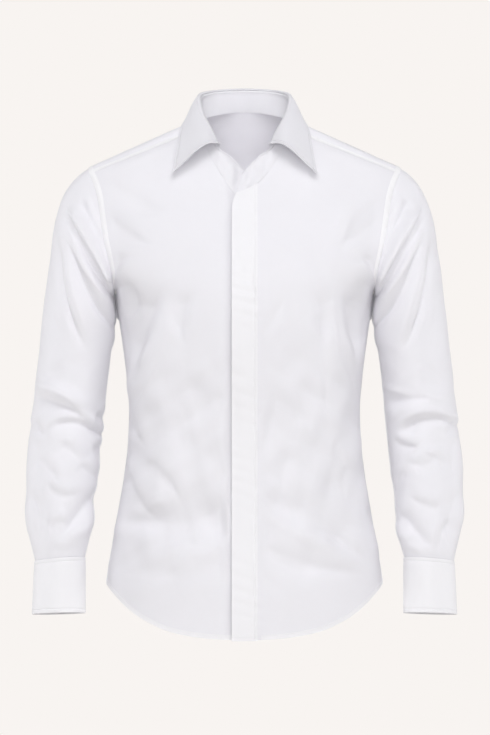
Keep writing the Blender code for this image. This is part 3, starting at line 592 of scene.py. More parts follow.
# Rows of points are set beside a stitched line, and the line is drawn in by a narrow bell
def grooved(grid, edges, distance, outward=1, deep=1.0):
    for edge in edges:
        turned = fromEdge(grid, edge)
        stop = distance + groove["beside"][-1] + groove["free"]
        beyond = int((runOf(turned).min(axis=1) < stop).sum())
        rows = [turned[0]] + [inward(turned, distance + step) for step in groove["beside"]]
        grid = toEdge(np.concatenate([np.stack(rows), turned[beyond:]]), edge)
    sunk = outward * deep * groove["depth"] * edgeBell(grid, edges, distance, groove["reach"])
    return grid - sunk[..., None] * normalsOf(grid)


# How far the right front lies back under the left one: full to one distance, none past the other
def frontDip(x):
    return dip["deep"] * ease((dip["startX"] - x) / (dip["startX"] - dip["fullX"]))


# A front's centre edge: the left one curves out to the neck, and the right one is straight
def centreEdge(side, z):
    if side == "left":
        return readTable(placketEdge["z"], placketEdge["x"], z)
    return np.full(np.shape(z), -float(underlapX))


puckers = {"height": 0.42, "startX": 30, "over": 14, "fromHem": 20, "belowZ": -80, "belowOver": 20}


# Small level puckers that the placket's stitches draw up: one wave down the front, whose steps widen
# and narrow slowly, held between the hem and the neck
def pucker(x, z):
    wave = np.sin(z / 3.1 + x / 11 + 2.4 * np.sin(z / 37))
    wave = wave * (0.15 + 0.85 * np.sin(z / 43 + x / 29 + 1) ** 2)
    hold = ease((puckers["startX"] - x) / puckers["over"]) * ease((z - hemCentreZ) / puckers["fromHem"])
    return puckers["height"] * wave * hold * ease((puckers["belowZ"] - z) / puckers["belowOver"])


armpitShare = 0.69        # of the centre edge's length, level with the armpit's row


# Straight columns beside the centre edge, as angles and heights from the hem up
def centreColumns(side):
    plan = fronts[side]
    share = np.interp(np.linspace(0, len(plan["share"]) - 1, (len(plan["share"]) - 1) * fine + 1),
                      np.arange(len(plan["share"])), plan["share"])
    neckX = plan["x"][0] + share * (plan["endX"] - plan["x"][0])
    zTop = readTable(plan["x"], plan["z"], neckX)
    zBottom = readTable(hemLine["x"], hemLine["z"], share * plan["endX"])
    lower = np.linspace(0, armpitShare, segments["side"] + 1)
    upper = np.linspace(armpitShare, 1, segments["frontArmhole"] + 1)
    height = np.concatenate([lower, upper[1:]])[:, None]
    z = (1 - height) * zBottom + height * zTop
    edge = centreEdge(side, z)
    x = edge + share * (plan["endX"] - edge)
    x[-1] = neckX
    return seamAt(x, z)


# One front: rows from the hem up, columns from the centre to the side, moved along the body's
# normals by its creases
def frontGrid(side):
    plan = fronts[side]
    centre = centreColumns(side)
    toFold = segments["fold"] - (centre.shape[1] - 1)
    top = np.concatenate([
        neckSeam(plan, plan["endX"], foldEndX, toFold)[:-1],
        neckSeam(plan, foldEndX, yokeNeck[0], segments["neck"])[:-1],
        frontYokeSeam(),
    ])
    outer = np.concatenate([sideSeam()[:-1], armholeSeam(False)])
    inner = centre[:, -1]
    bottom = hemSeam(inner[0, 0], 90, len(top) - 1)
    bottom[0], top[0] = inner[0], inner[-1]
    flat = np.concatenate([centre[:, :-1], stretched(bottom, top, inner, outer)], axis=1)
    grid = eased(bodyPoint(flat))
    x, z = grid[..., 0], grid[..., 2]
    low = ease((wear["from"] - z) / wear["over"]) * ease((z - wear["hem"]) / wear["hemOver"])
    worn = wear["least"] + wear["more"] * low
    seed = seeds["front" + side.title()]
    lift = creaseLift(x, z, frontCreases, ("both", side), drape) + rumple(x, z, worn, seed)
    lift += rumple(2.1 * x, 1.7 * z, wear["small"] * worn, seed + 3)
    lift *= edgeHold(grid.shape, wear["heldCells"]) * ease((x - wear["placketX"]) / wear["placketOver"])
    lift += pucker(x, z) if side == "left" else -frontDip(x)
    return grid + lift[..., None] * bodyNormal(grid)


backBlendX = 25           # over which one half's creases change to the other's


# The back: one half moved out by its creases and the fold under the arm, joined to its mirror image
def backGrid():
    outer = np.concatenate([sideSeam()[:-1], armholeSeam(True)])
    rise = np.linspace(hemCentreZ, backYokeZ, len(outer))
    centre = np.stack([np.full(len(outer), 180.0), rise], axis=1)
    flat = stretched(hemSeam(90, 180, segments["backHalf"]), backYokeSeam(), outer, centre)
    half = eased(bodyPoint(flat), True)
    x, z = half[..., 0], half[..., 2]
    hold = edgeHold(half.shape, wear["heldCells"], True)
    fold = np.exp(-((half[..., 1] - underArm["y"]) / underArm["acrossY"]) ** 4
                  - ((z - underArm["z"]) / underArm["acrossZ"]) ** 4)
    shared = creaseLift(x, z, backCreases, ("both",), drape)
    blend = ease(x / backBlendX)
    normal = bodyNormal(half)
    halves = []
    for side in ("left", "right"):
        own = creaseLift(x, z, backCreases, ("both", side), drape)
        own += rumple(x, z, wear["elsewhere"], seeds["back" + side.title()])
        lift = (blend * own + (1 - blend) * shared) * hold + underArm["height"] * fold
        halves.append(half + lift[..., None] * normal)
    return whole(*halves)


# The yoke: a half from the neck out to the armhole and the back seam, joined to its mirror image
def yokeGrid():
    outer = np.concatenate([yokeArmhole()[:-1], backYokeSeam()])
    inner = yokeNeckSeam(len(outer) - 1)
    front = frontYokeSeam()
    centreZ = np.linspace(inner[-1, 1], backYokeZ, len(front))
    centre = np.stack([np.full(len(front), 180.0), centreZ], axis=1)
    flat = stretched(inner, outer, front, centre)
    return whole(bodyPoint(flat))


# Rings round the arm at row numbers of its table: centre + half width x cos + half depth x sin, with
# 0 degrees on the inner line, 90 in front and 180 on the outer line
def armRing(row, angle, swell=0.0):
    row = np.asarray(row, float)[:, None]
    size = {key: readTable(np.arange(len(arm[key])), arm[key], row) for key in arm}
    zero = 0 * row
    outer = np.stack([size["outerX"], zero, size["outerZ"]], axis=-1)
    inner = np.stack([size["innerX"], zero, size["innerZ"]], axis=-1)
    lean = np.radians(size["lean"])
    forward = np.stack([zero, -np.cos(lean), np.sin(lean)], axis=-1)
    centre = (outer + inner) / 2 + np.stack([zero, size["centreY"], zero], axis=-1)
    across = (inner - outer) / 2
    halfWidth = np.linalg.norm(across, axis=-1)
    turn = np.radians(angle)
    wide = (halfWidth + swell) * np.cos(turn)
    deep = (size["halfDepth"] + swell) * np.sin(turn)
    return centre + wide[..., None] * across / halfWidth[..., None] + deep[..., None] * forward


# The whole armhole from the armpit, up the front, over the shoulder and down the back
def armholeLoop():
    line = np.concatenate([armholeSeam(False)[:-1], yokeArmhole()[:-1], armholeSeam(True)[::-1]])
    return bodyPoint(line)


# Where each point of the armhole lies round the arm, seen along the sleeve
def armholeAngles(loop):
    outer = np.array([arm["outerX"][0], arm["outerZ"][0]])
    inner = np.array([arm["innerX"][0], arm["innerZ"][0]])
    axis = (inner - outer) / 2
    reach = ((loop[:, [0, 2]] - (outer + inner) / 2) @ axis) / (axis @ axis)
    forward = -(loop[:, 1] - arm["centreY"][0]) / arm["halfDepth"][0]
    angle = np.degrees(np.arctan2(forward, reach)) % 360
    half = len(angle) // 2
    angle[:half] -= 360 * (angle[:half] > 270)
    angle[half:] += 360 * (angle[half:] < 90)
    angle[0], angle[-1] = 0.0, 360.0
    return angle


# The way the sleeve's head is carried on from the shoulder, and how its first ring is tucked in
head = {"way": (0.77, 0.0, 0.22), "gap": 0.1, "sunk": 0.4, "back": 2.2, "down": 0.55, "armpit": 0.8,
        "sewnFrom": 0.04, "sewnOver": 0.25}


# The head: a cubic from each armhole point to the first full ring. Its first ring is tucked under the
# panels' edge, except at the armpit.
def sleeveHead(loop, angle, ringAngle):
    top = 0.5 - 0.5 * np.cos(np.radians(angle))[:, None]
    end = armRing([0], ringAngle[None])[0]
    reach = np.linalg.norm(end - loop, axis=1, keepdims=True)
    leave = unit(unit(end - loop) + top * head["way"])
    arrive = unit(armRing([0.5], ringAngle[None])[0] - end)
    normal = bodyNormal(loop)
    sewn = ease((top - head["sewnFrom"]) / head["sewnOver"])
    start = loop + (play * (1 - sewn) + head["gap"]) * leave
    start = start + ((clothWall + play) * (1 - top) * (1 - sewn) - head["sunk"] * sewn) * normal
    under = start - sewn * (head["back"] * leave + head["down"] * normal)
    under = under - (1 - sewn) * head["armpit"] * leave
    t = np.linspace(0, 1, segments["head"], endpoint=False)[:, None, None]
    rings = ((1 + 2 * t) * (1 - t) ** 2 * start + t * (1 - t) ** 2 * reach * leave
             + t * t * (3 - 2 * t) * end + t * t * (t - 1) * reach * arrive)
    return np.concatenate([under[None], rings])


# The last rings go into the cuff, by their row numbers and how far they stand out from the arm
sleevePlan = {
    "frontFolds": 1.15, "bulge": 3.6, "bulgeZ": -291, "bulgeReach": 24, "headSteps": 0.55,
    "evenRows": 3, "cuffRows": (sleeveEnd + 0.5, cuffTop + 0.02, cuffTop + 0.07),
    "cuffSwell": ((-0.9,), (-1.7,), (-1.8,)), "heldRings": 1.2, "faceFade": 0.9,
}


# One sleeve as the left one: rows from the armhole to the cuff, columns round the arm. The creases of
# each face fade out round the arm, and the inside bulges a little below the armpit.
def sleeveGrid(side):
    loop = armholeLoop()
    angle = armholeAngles(loop)
    even = np.linspace(0, 360, len(loop))
    middle = np.array([(np.array(arm["outer" + key]) + arm["inner" + key]) / 2 for key in "XZ"])
    share = runShare(middle[:, :sleeveEnd + 1].T)
    t = np.linspace(0, 1, segments["sleeve"] + 1)
    t = t * (sleevePlan["headSteps"] + (1 - sleevePlan["headSteps"]) * t)
    rows = np.interp(t, share, np.arange(sleeveEnd + 1))
    level = (0.5 + 0.5 * ease(rows / sleevePlan["evenRows"]))[:, None]
    rings = armRing(rows, (1 - level) * angle + level * even)
    swell = np.array(sleevePlan["cuffSwell"])
    intoCuff = armRing(sleevePlan["cuffRows"], even[None] + 0 * swell, swell)
    grid = np.concatenate([sleeveHead(loop, angle, (angle + even) / 2), rings, intoCuff])
    outward = -normalsOf(grid, True)
    number = np.arange(len(grid), dtype=float)[:, None] / fine
    hold = ease((number - 0.4) / sleevePlan["heldRings"])
    hold = hold * ease((number[::-1] - 4 / fine) / sleevePlan["heldRings"])
    forward, inside = np.sin(np.radians(even))[None], np.cos(np.radians(even))[None]
    for face, sign in (("front", 1), ("back", -1)):
        x, z = grid[..., 0], grid[..., 2]
        lift = creaseLift(x, z, sleeveCreases, (face, face + " " + side), pinch)
        if face == "front":
            lift = sleevePlan["frontFolds"] * lift + tuckLift(x, z, sleeveTucks)
        facing = ease(0.5 + sleevePlan["faceFade"] * sign * forward)
        grid = grid + (lift * hold * facing)[..., None] * outward
    x, z = grid[..., 0], grid[..., 2]
    lift = rumple(x + 40 * forward, z, wear["elsewhere"], seeds["sleeve" + side.title()]) * hold
    bulge = np.exp(-((z - sleevePlan["bulgeZ"]) / sleevePlan["bulgeReach"]) ** 4)
    lift = lift + sleevePlan["bulge"] * np.clip(inside, 0, 1) ** 4 * bulge
    grid = grid + lift[..., None] * outward
    grid[:, -1] = grid[:, 0]
    return grid


cuff = {"wall": 2.0, "lapStart": 209, "lap": 36, "rise": (334, 358), "columns": 144, "rows": 10}


# A cuff: one turn round the wrist, swollen where it laps over its own start
def cuffGrid():
    turn = np.linspace(0, 360 + cuff["lap"], cuff["columns"] + 1)
    low, high = cuff["rise"]
    swell = (cuff["wall"] + play) * ease((turn - low) / (high - low))
    rows = np.linspace(cuffBottom, cuffTop, cuff["rows"] + 1)
    return armRing(rows, cuff["lapStart"] + turn[None], swell[None])


slit = {"columns": (14, 16), "rings": 5, "end": 1.2}


# The slit's placket: a part of the sleeve's own grid, moved in under it
def sleevePlacketGrid(sleeve):
    first, last = (column * fine for column in slit["columns"])
    strip = (sleeve - (clothWall + play) * normalsOf(sleeve, True))[:-3]
    return insetEdges(strip[-1 - slit["rings"] * fine:, first:last + 1], ("top",), slit["end"])


stand = {
    "share": (0.0, 0.09, 0.18, 0.27, 0.335, 0.40, 0.475, 0.54, 0.60, 0.65, 0.71, 0.78, 0.88, 1.0, 1.12),
    "x": (-2.7, 8, 20, 33.5, 40, 46.5, 54, 59.5, 62.3, 63, 60.5, 52.5, 35, 0, -35),
    "y": (-58.5, -56, -52.5, -47.5, -43, -36.5, -26.5, -15, -4, 6, 18, 32, 46.5, 53, 46.5),
    "z": (-70.3, -59, -47.8, -38.5, -31, -16.5, 1, 14.5, 27, 37.5, 44, 48.3, 52.3, 54.3, 52.3),
    "foldShare": 0.302, "shell": 1.5, "play": 0.12, "rows": 12, "wornX": 45, "wornOver": 20,
    "worn": 3.0,
}
leaf = {
    "share": (0.0, 0.1, 0.21, 0.31, 0.40, 0.48, 0.57, 0.67, 0.82, 1.0, 1.18),
    "x": (101.7, 98.5, 95, 92.5, 90, 86.5, 76, 62, 38, 0, -38),
    "y": (-68, -59, -47.5, -34, -19, -1, 21, 41, 57, 64, 57),
    "z": (-73, -55, -33, -16, -5, 2.8, 6.5, 9.5, 12.5, 14, 12.5),
    "rollOut": (0.0, 0.1, 1.5, 3.6, 5.0), "rollUp": (0.5, 1.4, 2.9, 2.6, 0.6),
    "rollRows": 10, "fallRows": 24, "crown": 0.05, "frontCrown": 0.03, "frontRoll": 1.6,
    "frontReach": 45, "arch": 4.6, "archAcross": 22,
}


# The line of a plan's x, y and z at these shares of its length
def planLine(plan, share):
    return np.stack([readTable(plan["share"], plan[key], share) for key in "xyz"], axis=1)


# Foot and top of the stand from one front end to the centre back
def standHalf(front, yoke, sunk):
    neckEnd = segments["fold"] + segments["neck"]
    centreBack = yoke.shape[1] // 2
    foot = np.concatenate([front[-1, :neckEnd + 1], yoke[0, 1:centreBack + 1]])
    share = runShare(foot)
    share = np.interp(share, (0, share[segments["fold"]], 1), (0, stand["foldShare"], 1))
    top = planLine(stand, share)
    if sunk:
        tab = top[:segments["fold"]]
        back = ease((dip["standX"] - tab[:, 0]) / dip["standOver"])
        tab[:, 1] += dip["stand"] * dip["deep"] * back
    return foot, top


# The stand: straight rows from its raised foot to its top, worn uneven at its front ends. The foot is
# raised along the rows until half the wall clears the panels under it.
def standGrid(left, right, yoke):
    foot, top = map(whole, standHalf(left, yoke, False), standHalf(right, yoke, True))
    square = smoothed(squareTo(top - foot, foot), 2)
    rise = unit(top - foot)
    rise /= np.sum(rise * square, axis=1, keepdims=True)
    steep = np.clip(np.abs(np.sum(square * bodyNormal(foot), axis=1)), 0, 1)
    onward = np.sqrt(1 - steep ** 2)
    clear = (stand["play"] + (shellWall - onward * stand["shell"]) / 2) / np.maximum(steep, 0.2)
    raised = smoothed(np.maximum(clear, stand["play"])[:, None], 4)
    foot = foot + raised * rise
    share = np.linspace(0, 1, stand["rows"] + 1)[:, None, None]
    grid = (1 - share) * foot + share * top
    x, y, z = grid[..., 0], grid[..., 1], grid[..., 2]
    near = ease((stand["wornX"] - np.abs(x)) / stand["wornOver"]) * ease(-y / stand["wornOver"])
    near = near * (4 * share * (1 - share))[..., 0]
    worn = rumple(3.0 * x + 30, 1.6 * z, stand["worn"], seeds["stand"])
    return grid + (near * worn)[..., None] * normalsOf(grid)


# The leaf: over the stand's top by the roll's section, then a crowned fall to its outer edge. Roll
# and crown grow towards the front by a bell of the way from it, and the front edge arches.
def leafGrid(standPoints):
    keep = slice(segments["fold"], -segments["fold"])
    foot, top = standPoints[0, keep], standPoints[-1, keep]
    share = runShare(top[:len(top) // 2 + 1])
    edge = whole(planLine(leaf, share))
    rise = unit(smoothed(squareTo(top - foot, top), 3))
    out = unit(smoothed(unit(np.cross(np.gradient(top, axis=0), rise)), 3))
    topRun, edgeRun = runOf(top)[:, None], runOf(edge)[:, None]
    fromFront = np.minimum(topRun, topRun[-1] - topRun)
    wide = 1 + leaf["frontRoll"] * np.exp(-(fromFront / leaf["frontReach"]) ** 2)
    step = np.linspace(0, len(leaf["rollOut"]) - 1, leaf["rollRows"] + 1)[:, None, None]
    number = np.arange(len(leaf["rollOut"]))
    roll = top + wide * readTable(number, leaf["rollOut"], step) * out
    roll = roll + wide ** 0.5 * readTable(number, leaf["rollUp"], step) * rise
    start = roll[-1]
    bulge = leaf["crown"] * np.linalg.norm(edge - start, axis=1, keepdims=True)
    part = np.linspace(0, 1, leaf["fallRows"] + 1)[1:, None, None]
    swell = 6.75 * part * (1 - part) ** 2
    fromFront = np.minimum(edgeRun, edgeRun[-1] - edgeRun)
    near = np.exp(-(fromFront / leaf["archAcross"]) ** 1.5)
    more = leaf["frontCrown"] / leaf["crown"] * np.exp(-(fromFront / leaf["frontReach"]) ** 2)
    bulge = bulge * (1 + more)
    fall = start + part * (edge - start) + swell * bulge * (out + 0.5 * rise)
    fall = fall + leaf["arch"] * swell * near * (0, -0.35, 1.0)
    return np.concatenate([roll, fall])


placketPlan = {"columns": 3, "wall": 1.2, "shell": 0.8, "drop": 0.8, "sewnSink": 0.75}


# The placket: the left front's own points, moved out, with its sewn edge drawn down
def placketGrid(left):
    panel = left[:, :placketPlan["columns"] * fine + 1]
    column = np.arange(panel.shape[1])[None, :, None]
    sewn = placketPlan["sewnSink"] * ease((column - panel.shape[1] + 4) / 3)
    lift = (clothWall + placketPlan["wall"]) / 2 + play - sewn
    grid = panel + lift * bodyNormal(panel)
    grid[0, :, 2] -= placketPlan["drop"]
    return grid


# A new material with its tree and its main shader
def nodeTree(name):
    made = bpy.data.materials.new(name)
    made.use_nodes = True
    tree = made.node_tree
    return made, tree, tree.nodes["Principled BSDF"]


# Fills a node's inputs: an output is linked, and a number or a colour is written on its socket
def fill(tree, node, inputs):
    for name, value in inputs.items():
        if isinstance(value, bpy.types.NodeSocket):
            tree.links.new(value, node.inputs[name])
        else:
            node.inputs[name].default_value = value
    return node


# One new node with its inputs filled
def addNode(tree, kind, inputs):
    return fill(tree, tree.nodes.new("ShaderNode" + kind), inputs)


# The outcome of one operation on numbers or outputs
def mathNode(tree, operation, *values):
    node = tree.nodes.new("ShaderNodeMath")
    node.operation = operation
    return fill(tree, node, dict(enumerate(values))).outputs[0]


# Each place in the piece's own coordinates
def objectPlace(tree):
    return tree.nodes.new("ShaderNodeTexCoord").outputs["Object"]


# Cloudy noise from 0 to 1 over these places
def noiseNode(tree, place, scale, detail=2.0, distortion=0.0):
    inputs = {"Vector": place, "Scale": scale, "Detail": detail, "Distortion": distortion}
    return addNode(tree, "TexNoise", inputs).outputs["Fac"]


# A tone between two by a factor from 0 to 1
def toneNode(tree, factor, low, high):
    node = tree.nodes.new("ShaderNodeMix")
    node.data_type = "RGBA"
    inputs = {"Factor": factor, "A": (*low, 1), "B": (*high, 1)}
    return fill(tree, node, inputs).outputs["Result"]


# Normals tilted by the slope of a height
def bumpNode(tree, height, strength, distance=0.0001):
    inputs = {"Height": height, "Strength": strength, "Distance": distance}
    return addNode(tree, "Bump", inputs).outputs["Normal"]


weave = {
    "pitch": 0.00042, "slub": 900.0, "wobble": 1.3, "slow": 14.0, "nap": 380.0, "dark": 0.975,
    "light": 1.02, "sheen": 0.25, "sheenRough": 0.45, "gloss": 0.25,
}


# Plain weave: warp and weft are two sine bands on the cloth's own lengths, with uneven yarns, under
# a slow change of tone and a fine nap
def clothMaterial(name, colour, relief=0.25, rough=0.78):
    made, tree, shader = nodeTree(name)
    uv = tree.nodes.new("ShaderNodeUVMap")
    uv.uv_map = "cloth"
    split = addNode(tree, "SeparateXYZ", {0: uv.outputs["UV"]})
    slub = noiseNode(tree, uv.outputs["UV"], weave["slub"])
    wobble = mathNode(tree, "MULTIPLY", slub, weave["wobble"])
    bands = []
    for axis in ("X", "Y"):
        turns = mathNode(tree, "MULTIPLY", split.outputs[axis], 2 * math.pi / weave["pitch"])
        bands.append(mathNode(tree, "SINE", mathNode(tree, "ADD", turns, wobble)))
    yarns = mathNode(tree, "MULTIPLY", *bands)
    place = objectPlace(tree)
    slow = noiseNode(tree, place, weave["slow"], 3.0)
    nap = noiseNode(tree, place, weave["nap"], 3.0)
    mottle = mathNode(tree, "ADD", mathNode(tree, "MULTIPLY", slow, 0.7),
                      mathNode(tree, "MULTIPLY", nap, 0.3))
    low = [c * weave["dark"] for c in colour]
    high = [min(c * weave["light"], 1) for c in colour]
    height = mathNode(tree, "ADD", mathNode(tree, "MULTIPLY", yarns, 0.5), nap)
    roughness = mathNode(tree, "ADD", mathNode(tree, "MULTIPLY", nap, 0.12), rough - 0.06)
    fill(tree, shader, {
        "Base Color": toneNode(tree, mottle, low, high), "Normal": bumpNode(tree, height, relief),
        "Roughness": roughness, "Specular IOR Level": weave["gloss"],
        "Sheen Weight": weave["sheen"], "Sheen Roughness": weave["sheenRough"],
    })
    return made


# Sewing thread: a two-ply twist across its object coordinates
def threadMaterial():
    made, tree, shader = nodeTree("thread")
    twist = noiseNode(tree, objectPlace(tree), 2200.0)
    fill(tree, shader, {
        "Base Color": toneNode(tree, twist, (0.80, 0.80, 0.82), (0.90, 0.90, 0.92)),
        "Normal": bumpNode(tree, twist, 0.4), "Roughness": 0.5, "Sheen Weight": 0.2,
    })
    return made


# Moulded button: clouded white resin with a soft gloss, rougher where it has rubbed
def buttonMaterial():
    made, tree, shader = nodeTree("button_resin")
    cloud = noiseNode(tree, objectPlace(tree), 260.0, 4.0, 1.5)
    fill(tree, shader, {
        "Base Color": toneNode(tree, cloud, (0.84, 0.83, 0.80), (0.93, 0.93, 0.91)),
        "Roughness": mathNode(tree, "ADD", mathNode(tree, "MULTIPLY", cloud, 0.15), 0.18),
        "Coat Weight": 0.3, "Coat Roughness": 0.15,
    })
    return made


# Plain paper with a faint grain under the shirt
def paperMaterial():
    made, tree, shader = nodeTree("floor_paper")
    grain = noiseNode(tree, objectPlace(tree), 60.0)
    fill(tree, shader, {
        "Base Color": toneNode(tree, grain, (0.86, 0.84, 0.80), (0.88, 0.86, 0.82)),
        "Roughness": 0.9,
    })
    return made


poplin = clothMaterial("poplin", (0.862, 0.853, 0.893), relief=0.3, rough=0.82)
poplinDoubled = clothMaterial("poplin_doubled", (0.905, 0.898, 0.926))
poplinFelled = clothMaterial("poplin_felled", (0.94, 0.935, 0.955))
# A darker copy of the poplin: painted shade that makes the collar leaf read darker than the chest and yoke
poplinPaintedShade = clothMaterial("poplin_fused", (0.775, 0.767, 0.805))
thread = threadMaterial()
resin = buttonMaterial()
print("materials made")


# A piece from points in millimetres and lists of corners. A flipped one is the mirror image.
def newObject(name, points, faces, material, flip=False):
    mesh = bpy.data.meshes.new(name)
    faces = [list(map(int, face)) for face in faces]
    if flip:
        points, faces = points * mirrorX, [face[::-1] for face in faces]
    mesh.from_pydata((points * mm).tolist(), [], faces)
    mesh.materials.append(material)
    mesh.shade_smooth()
    obj = bpy.data.objects.new(name, mesh)
    bpy.context.scene.collection.objects.link(obj)
    return obj


# Puts a piece in the one body, in place of the solids that it stands for
def settle(obj, nodes=()):
    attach(obj, "root")
    if nodes:
        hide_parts(*nodes)
    return obj


# The four corners of each cell of a grid of numbers or of places
def cellsOf(grid):
    corners = (grid[:-1, :-1], grid[:-1, 1:], grid[1:, 1:], grid[1:, :-1])
    return np.stack(corners, axis=2).reshape(-1, 4, *grid.shape[2:])


# The lines round a grid's rim. A tube has only its two ends.
def rimsOf(grid, tube):
    return [grid[0], grid[-1][::-1]] + ([] if tube else [grid[::-1, 0], grid[:, -1]])


# A closed shell: the grid moved out and in by half its wall, joined round its edges. Each point keeps
# its lengths along the cloth as its texture place, and the folded edges are marked sharp.
def shell(name, grid, wall, material, nodes=(), flip=False, tube=False, inverted=False):
    normal = normalsOf(grid, tube)
    across, up = runOf(grid.swapaxes(0, 1)).mean(axis=1), runOf(grid).mean(axis=1)
    place = np.stack(np.broadcast_arrays(across[None, :], up[:, None]), axis=-1) * mm
    if tube:
        grid, normal = grid[:, :-1], normal[:, :-1]
    count = grid.shape[0] * grid.shape[1]
    number = np.arange(count).reshape(grid.shape[:2])
    if tube:
        number = np.concatenate([number, number[:, :1]], axis=1)
    outer, cells, rims = cellsOf(number), cellsOf(place), rimsOf(number, tube)
    rim = np.concatenate([np.stack([r[1:], r[:-1], r[:-1] + count, r[1:] + count], axis=1) for r in rims])
    edge = np.concatenate([np.stack([e[1:], e[:-1], e[:-1], e[1:]], axis=1)
                           for e in rimsOf(place, tube)])
    faces = np.concatenate([outer, outer[:, ::-1] + count, rim])
    loops = np.concatenate([cells, cells[:, ::-1], edge])
    points = np.concatenate([grid + wall / 2 * normal, grid - wall / 2 * normal]).reshape(-1, 3)
    if inverted:
        faces = faces[:, ::-1]
    if inverted != flip:
        loops = loops[:, ::-1]
    obj = newObject(name, points, faces, material, flip)
    mesh = obj.data
    layer = mesh.uv_layers.new(name="cloth")
    layer.data.foreach_set("uv", loops.reshape(-1).astype(np.float32))
    border = np.isin(np.arange(2 * count) % count, np.concatenate(rims))
    ends = np.zeros(2 * len(mesh.edges), np.int32)
    mesh.edges.foreach_get("vertices", ends)
    ends = ends.reshape(-1, 2)
    sharp = border[ends].all(axis=1) & ((ends[:, 0] < count) == (ends[:, 1] < count))
    attribute = mesh.attributes.get("sharp_edge") or mesh.attributes.new("sharp_edge", "BOOLEAN", "EDGE")
    attribute.data.foreach_set("value", sharp)
    mesh.update()
    return settle(obj, nodes)


# A closed revolved grid: its last column is its first
def revolved(name, grid, material, flip):
    rows, columns = grid.shape[:2]
    number = np.arange(rows * (columns - 1)).reshape(rows, columns - 1)
    number = np.concatenate([number, number[:, :1]], axis=1)
    return newObject(name, grid[:, :-1].reshape(-1, 3), cellsOf(number), material, flip)


# A face is a panel's points with their normals. These are some of its rows and columns.
def cut(face, rows=slice(None), columns=slice(None)):
    return face[0][rows, columns], face[1][rows, columns]


# A line of places with their normals, a distance inwards from an edge of a face
def edgeLine(face, edge, distance, lift):
    points, normals = (fromEdge(part, edge) for part in face)
    facing = unit(inward(points, distance, normals))
    return inward(points, distance) + lift * facing, facing


band = {"lift": 0.62, "wall": 0.45, "rows": 5, "crown": 0.5}


# A strip of doubled cloth along one edge of a face, between two distances from that edge. A crown
# raises its middle in an arch.
def addBand(name, face, edge, reach, material, flip=False, crown=0.0):
    share = np.linspace(0, 1, band["rows"])
    places = reach[0] + share * (reach[1] - reach[0])
    lifts = band["lift"] + 4 * crown * share * (1 - share)
    strip = np.stack([edgeLine(face, edge, at, lift)[0] for at, lift in zip(places, lifts)])
    return shell(name, strip, band["wall"], material, flip=flip)


stitch = {"pitch": 2.7, "length": 2.0, "width": 0.42, "height": 0.22, "above": 0.08}


# Stitches along lines: each is a low bar with a raised middle, 3 stations of 3 corners, set every
# pitch along its line, and all of them are one mesh
def stitches(name, lines, flip=False):
    station = np.array([-0.5, 0.0, 0.5])[:, None]
    section = np.array([[-0.5, -0.4], [0.0, 0.8], [0.5, -0.4]])
    swell = np.array([0.45, 1.0, 0.45])[:, None]
    bar = np.stack([station * stitch["length"] + 0 * section[:, 0],
                    swell * section[:, 0] * stitch["width"],
                    swell * section[:, 1] * stitch["height"]], axis=-1).reshape(-1, 3)
    ring, after = np.arange(3), (np.arange(3) + 1) % 3
    sides = np.concatenate([np.stack([k + ring, k + after, k + 3 + after, k + 3 + ring], axis=1)
                            for k in (0, 3)])
    bars = sides.tolist() + [[2, 1, 0], [6, 7, 8]]
    points = []
    for line, facing in lines:
        run = runOf(line)
        at = np.arange(stitch["pitch"] / 2, run[-1] - stitch["length"] / 2, stitch["pitch"])
        spot, ahead = alongLine(at, run, line), alongLine(at + 0.5, run, line)
        up = unit(alongLine(at, run, facing))
        along = unit(ahead - spot + 1e-9)
        across = unit(np.cross(up, along))
        points.append(spot[:, None] + bar[:, 0, None] * along[:, None]
                      + bar[:, 1, None] * across[:, None] + bar[:, 2, None] * up[:, None])
    points = np.concatenate(points)
    faces = [[9 * number + corner for corner in face] for number in range(len(points)) for face in bars]
    return settle(newObject(name, points.reshape(-1, 3), faces, thread, flip))


onCloth = shellWall / 2 + 0.12
onBand = band["lift"] + band["wall"] / 2 + stitch["above"]
armholeRows, sideRows = slice(segments["side"], None), slice(0, segments["side"] + 1)
fell = {"reach": (0.9, 9.5), "stitch": 8.6}
hem = {"reach": (0.0, 6.6), "stitch": 5.4}

leftFront, rightFront, back, yoke = frontGrid("left"), frontGrid("right"), backGrid(), yokeGrid()
collarStand = standGrid(leftFront, rightFront, yoke)

frontCut = {"flat": (0.28, 0.72), "area": 0.165, "sideStitch": 6.0, "yokeStitch": 1.6,
            "facingStitch": 10.5}
yokeColumns = slice(segments["fold"] + segments["neck"], None)
facingRows = slice(6, -3 * fine)
for side, grid, flip in (("left", leftFront, False), ("right", rightFront, True)):
    normal = bodyNormal(grid)
    panel = sunkEdges(insetEdges(grid, ("right", "top")), ("right",), normal)
    front = shell("shirt_front_" + side, panel, shellWall, poplin, ["front_" + side], flip)
    face = panel, normal
    upper = cut(face, armholeRows)
    first = placketPlan["columns"] * fine + 2 if side == "left" else 0
    hemFace = cut(face, columns=slice(first, None))
    parts = [
        addBand("fell_front_" + side, upper, "right", fell["reach"], poplinFelled, flip, band["crown"]),
        addBand("hem_front_" + side, hemFace, "bottom", hem["reach"], poplinDoubled, flip),
    ]
    sewing = [
        edgeLine(upper, "right", fell["stitch"], onBand),
        edgeLine(hemFace, "bottom", hem["stitch"], onBand),
        edgeLine(cut(face, sideRows), "right", frontCut["sideStitch"], onCloth),
        edgeLine(cut(face, columns=yokeColumns), "top", frontCut["yokeStitch"], onCloth),
    ]
    if side == "right":
        sewing.append(edgeLine(cut(face, facingRows), "left", frontCut["facingStitch"], onCloth))
    parts.append(stitches("stitches_front_" + side, sewing, flip))
print("fronts made")

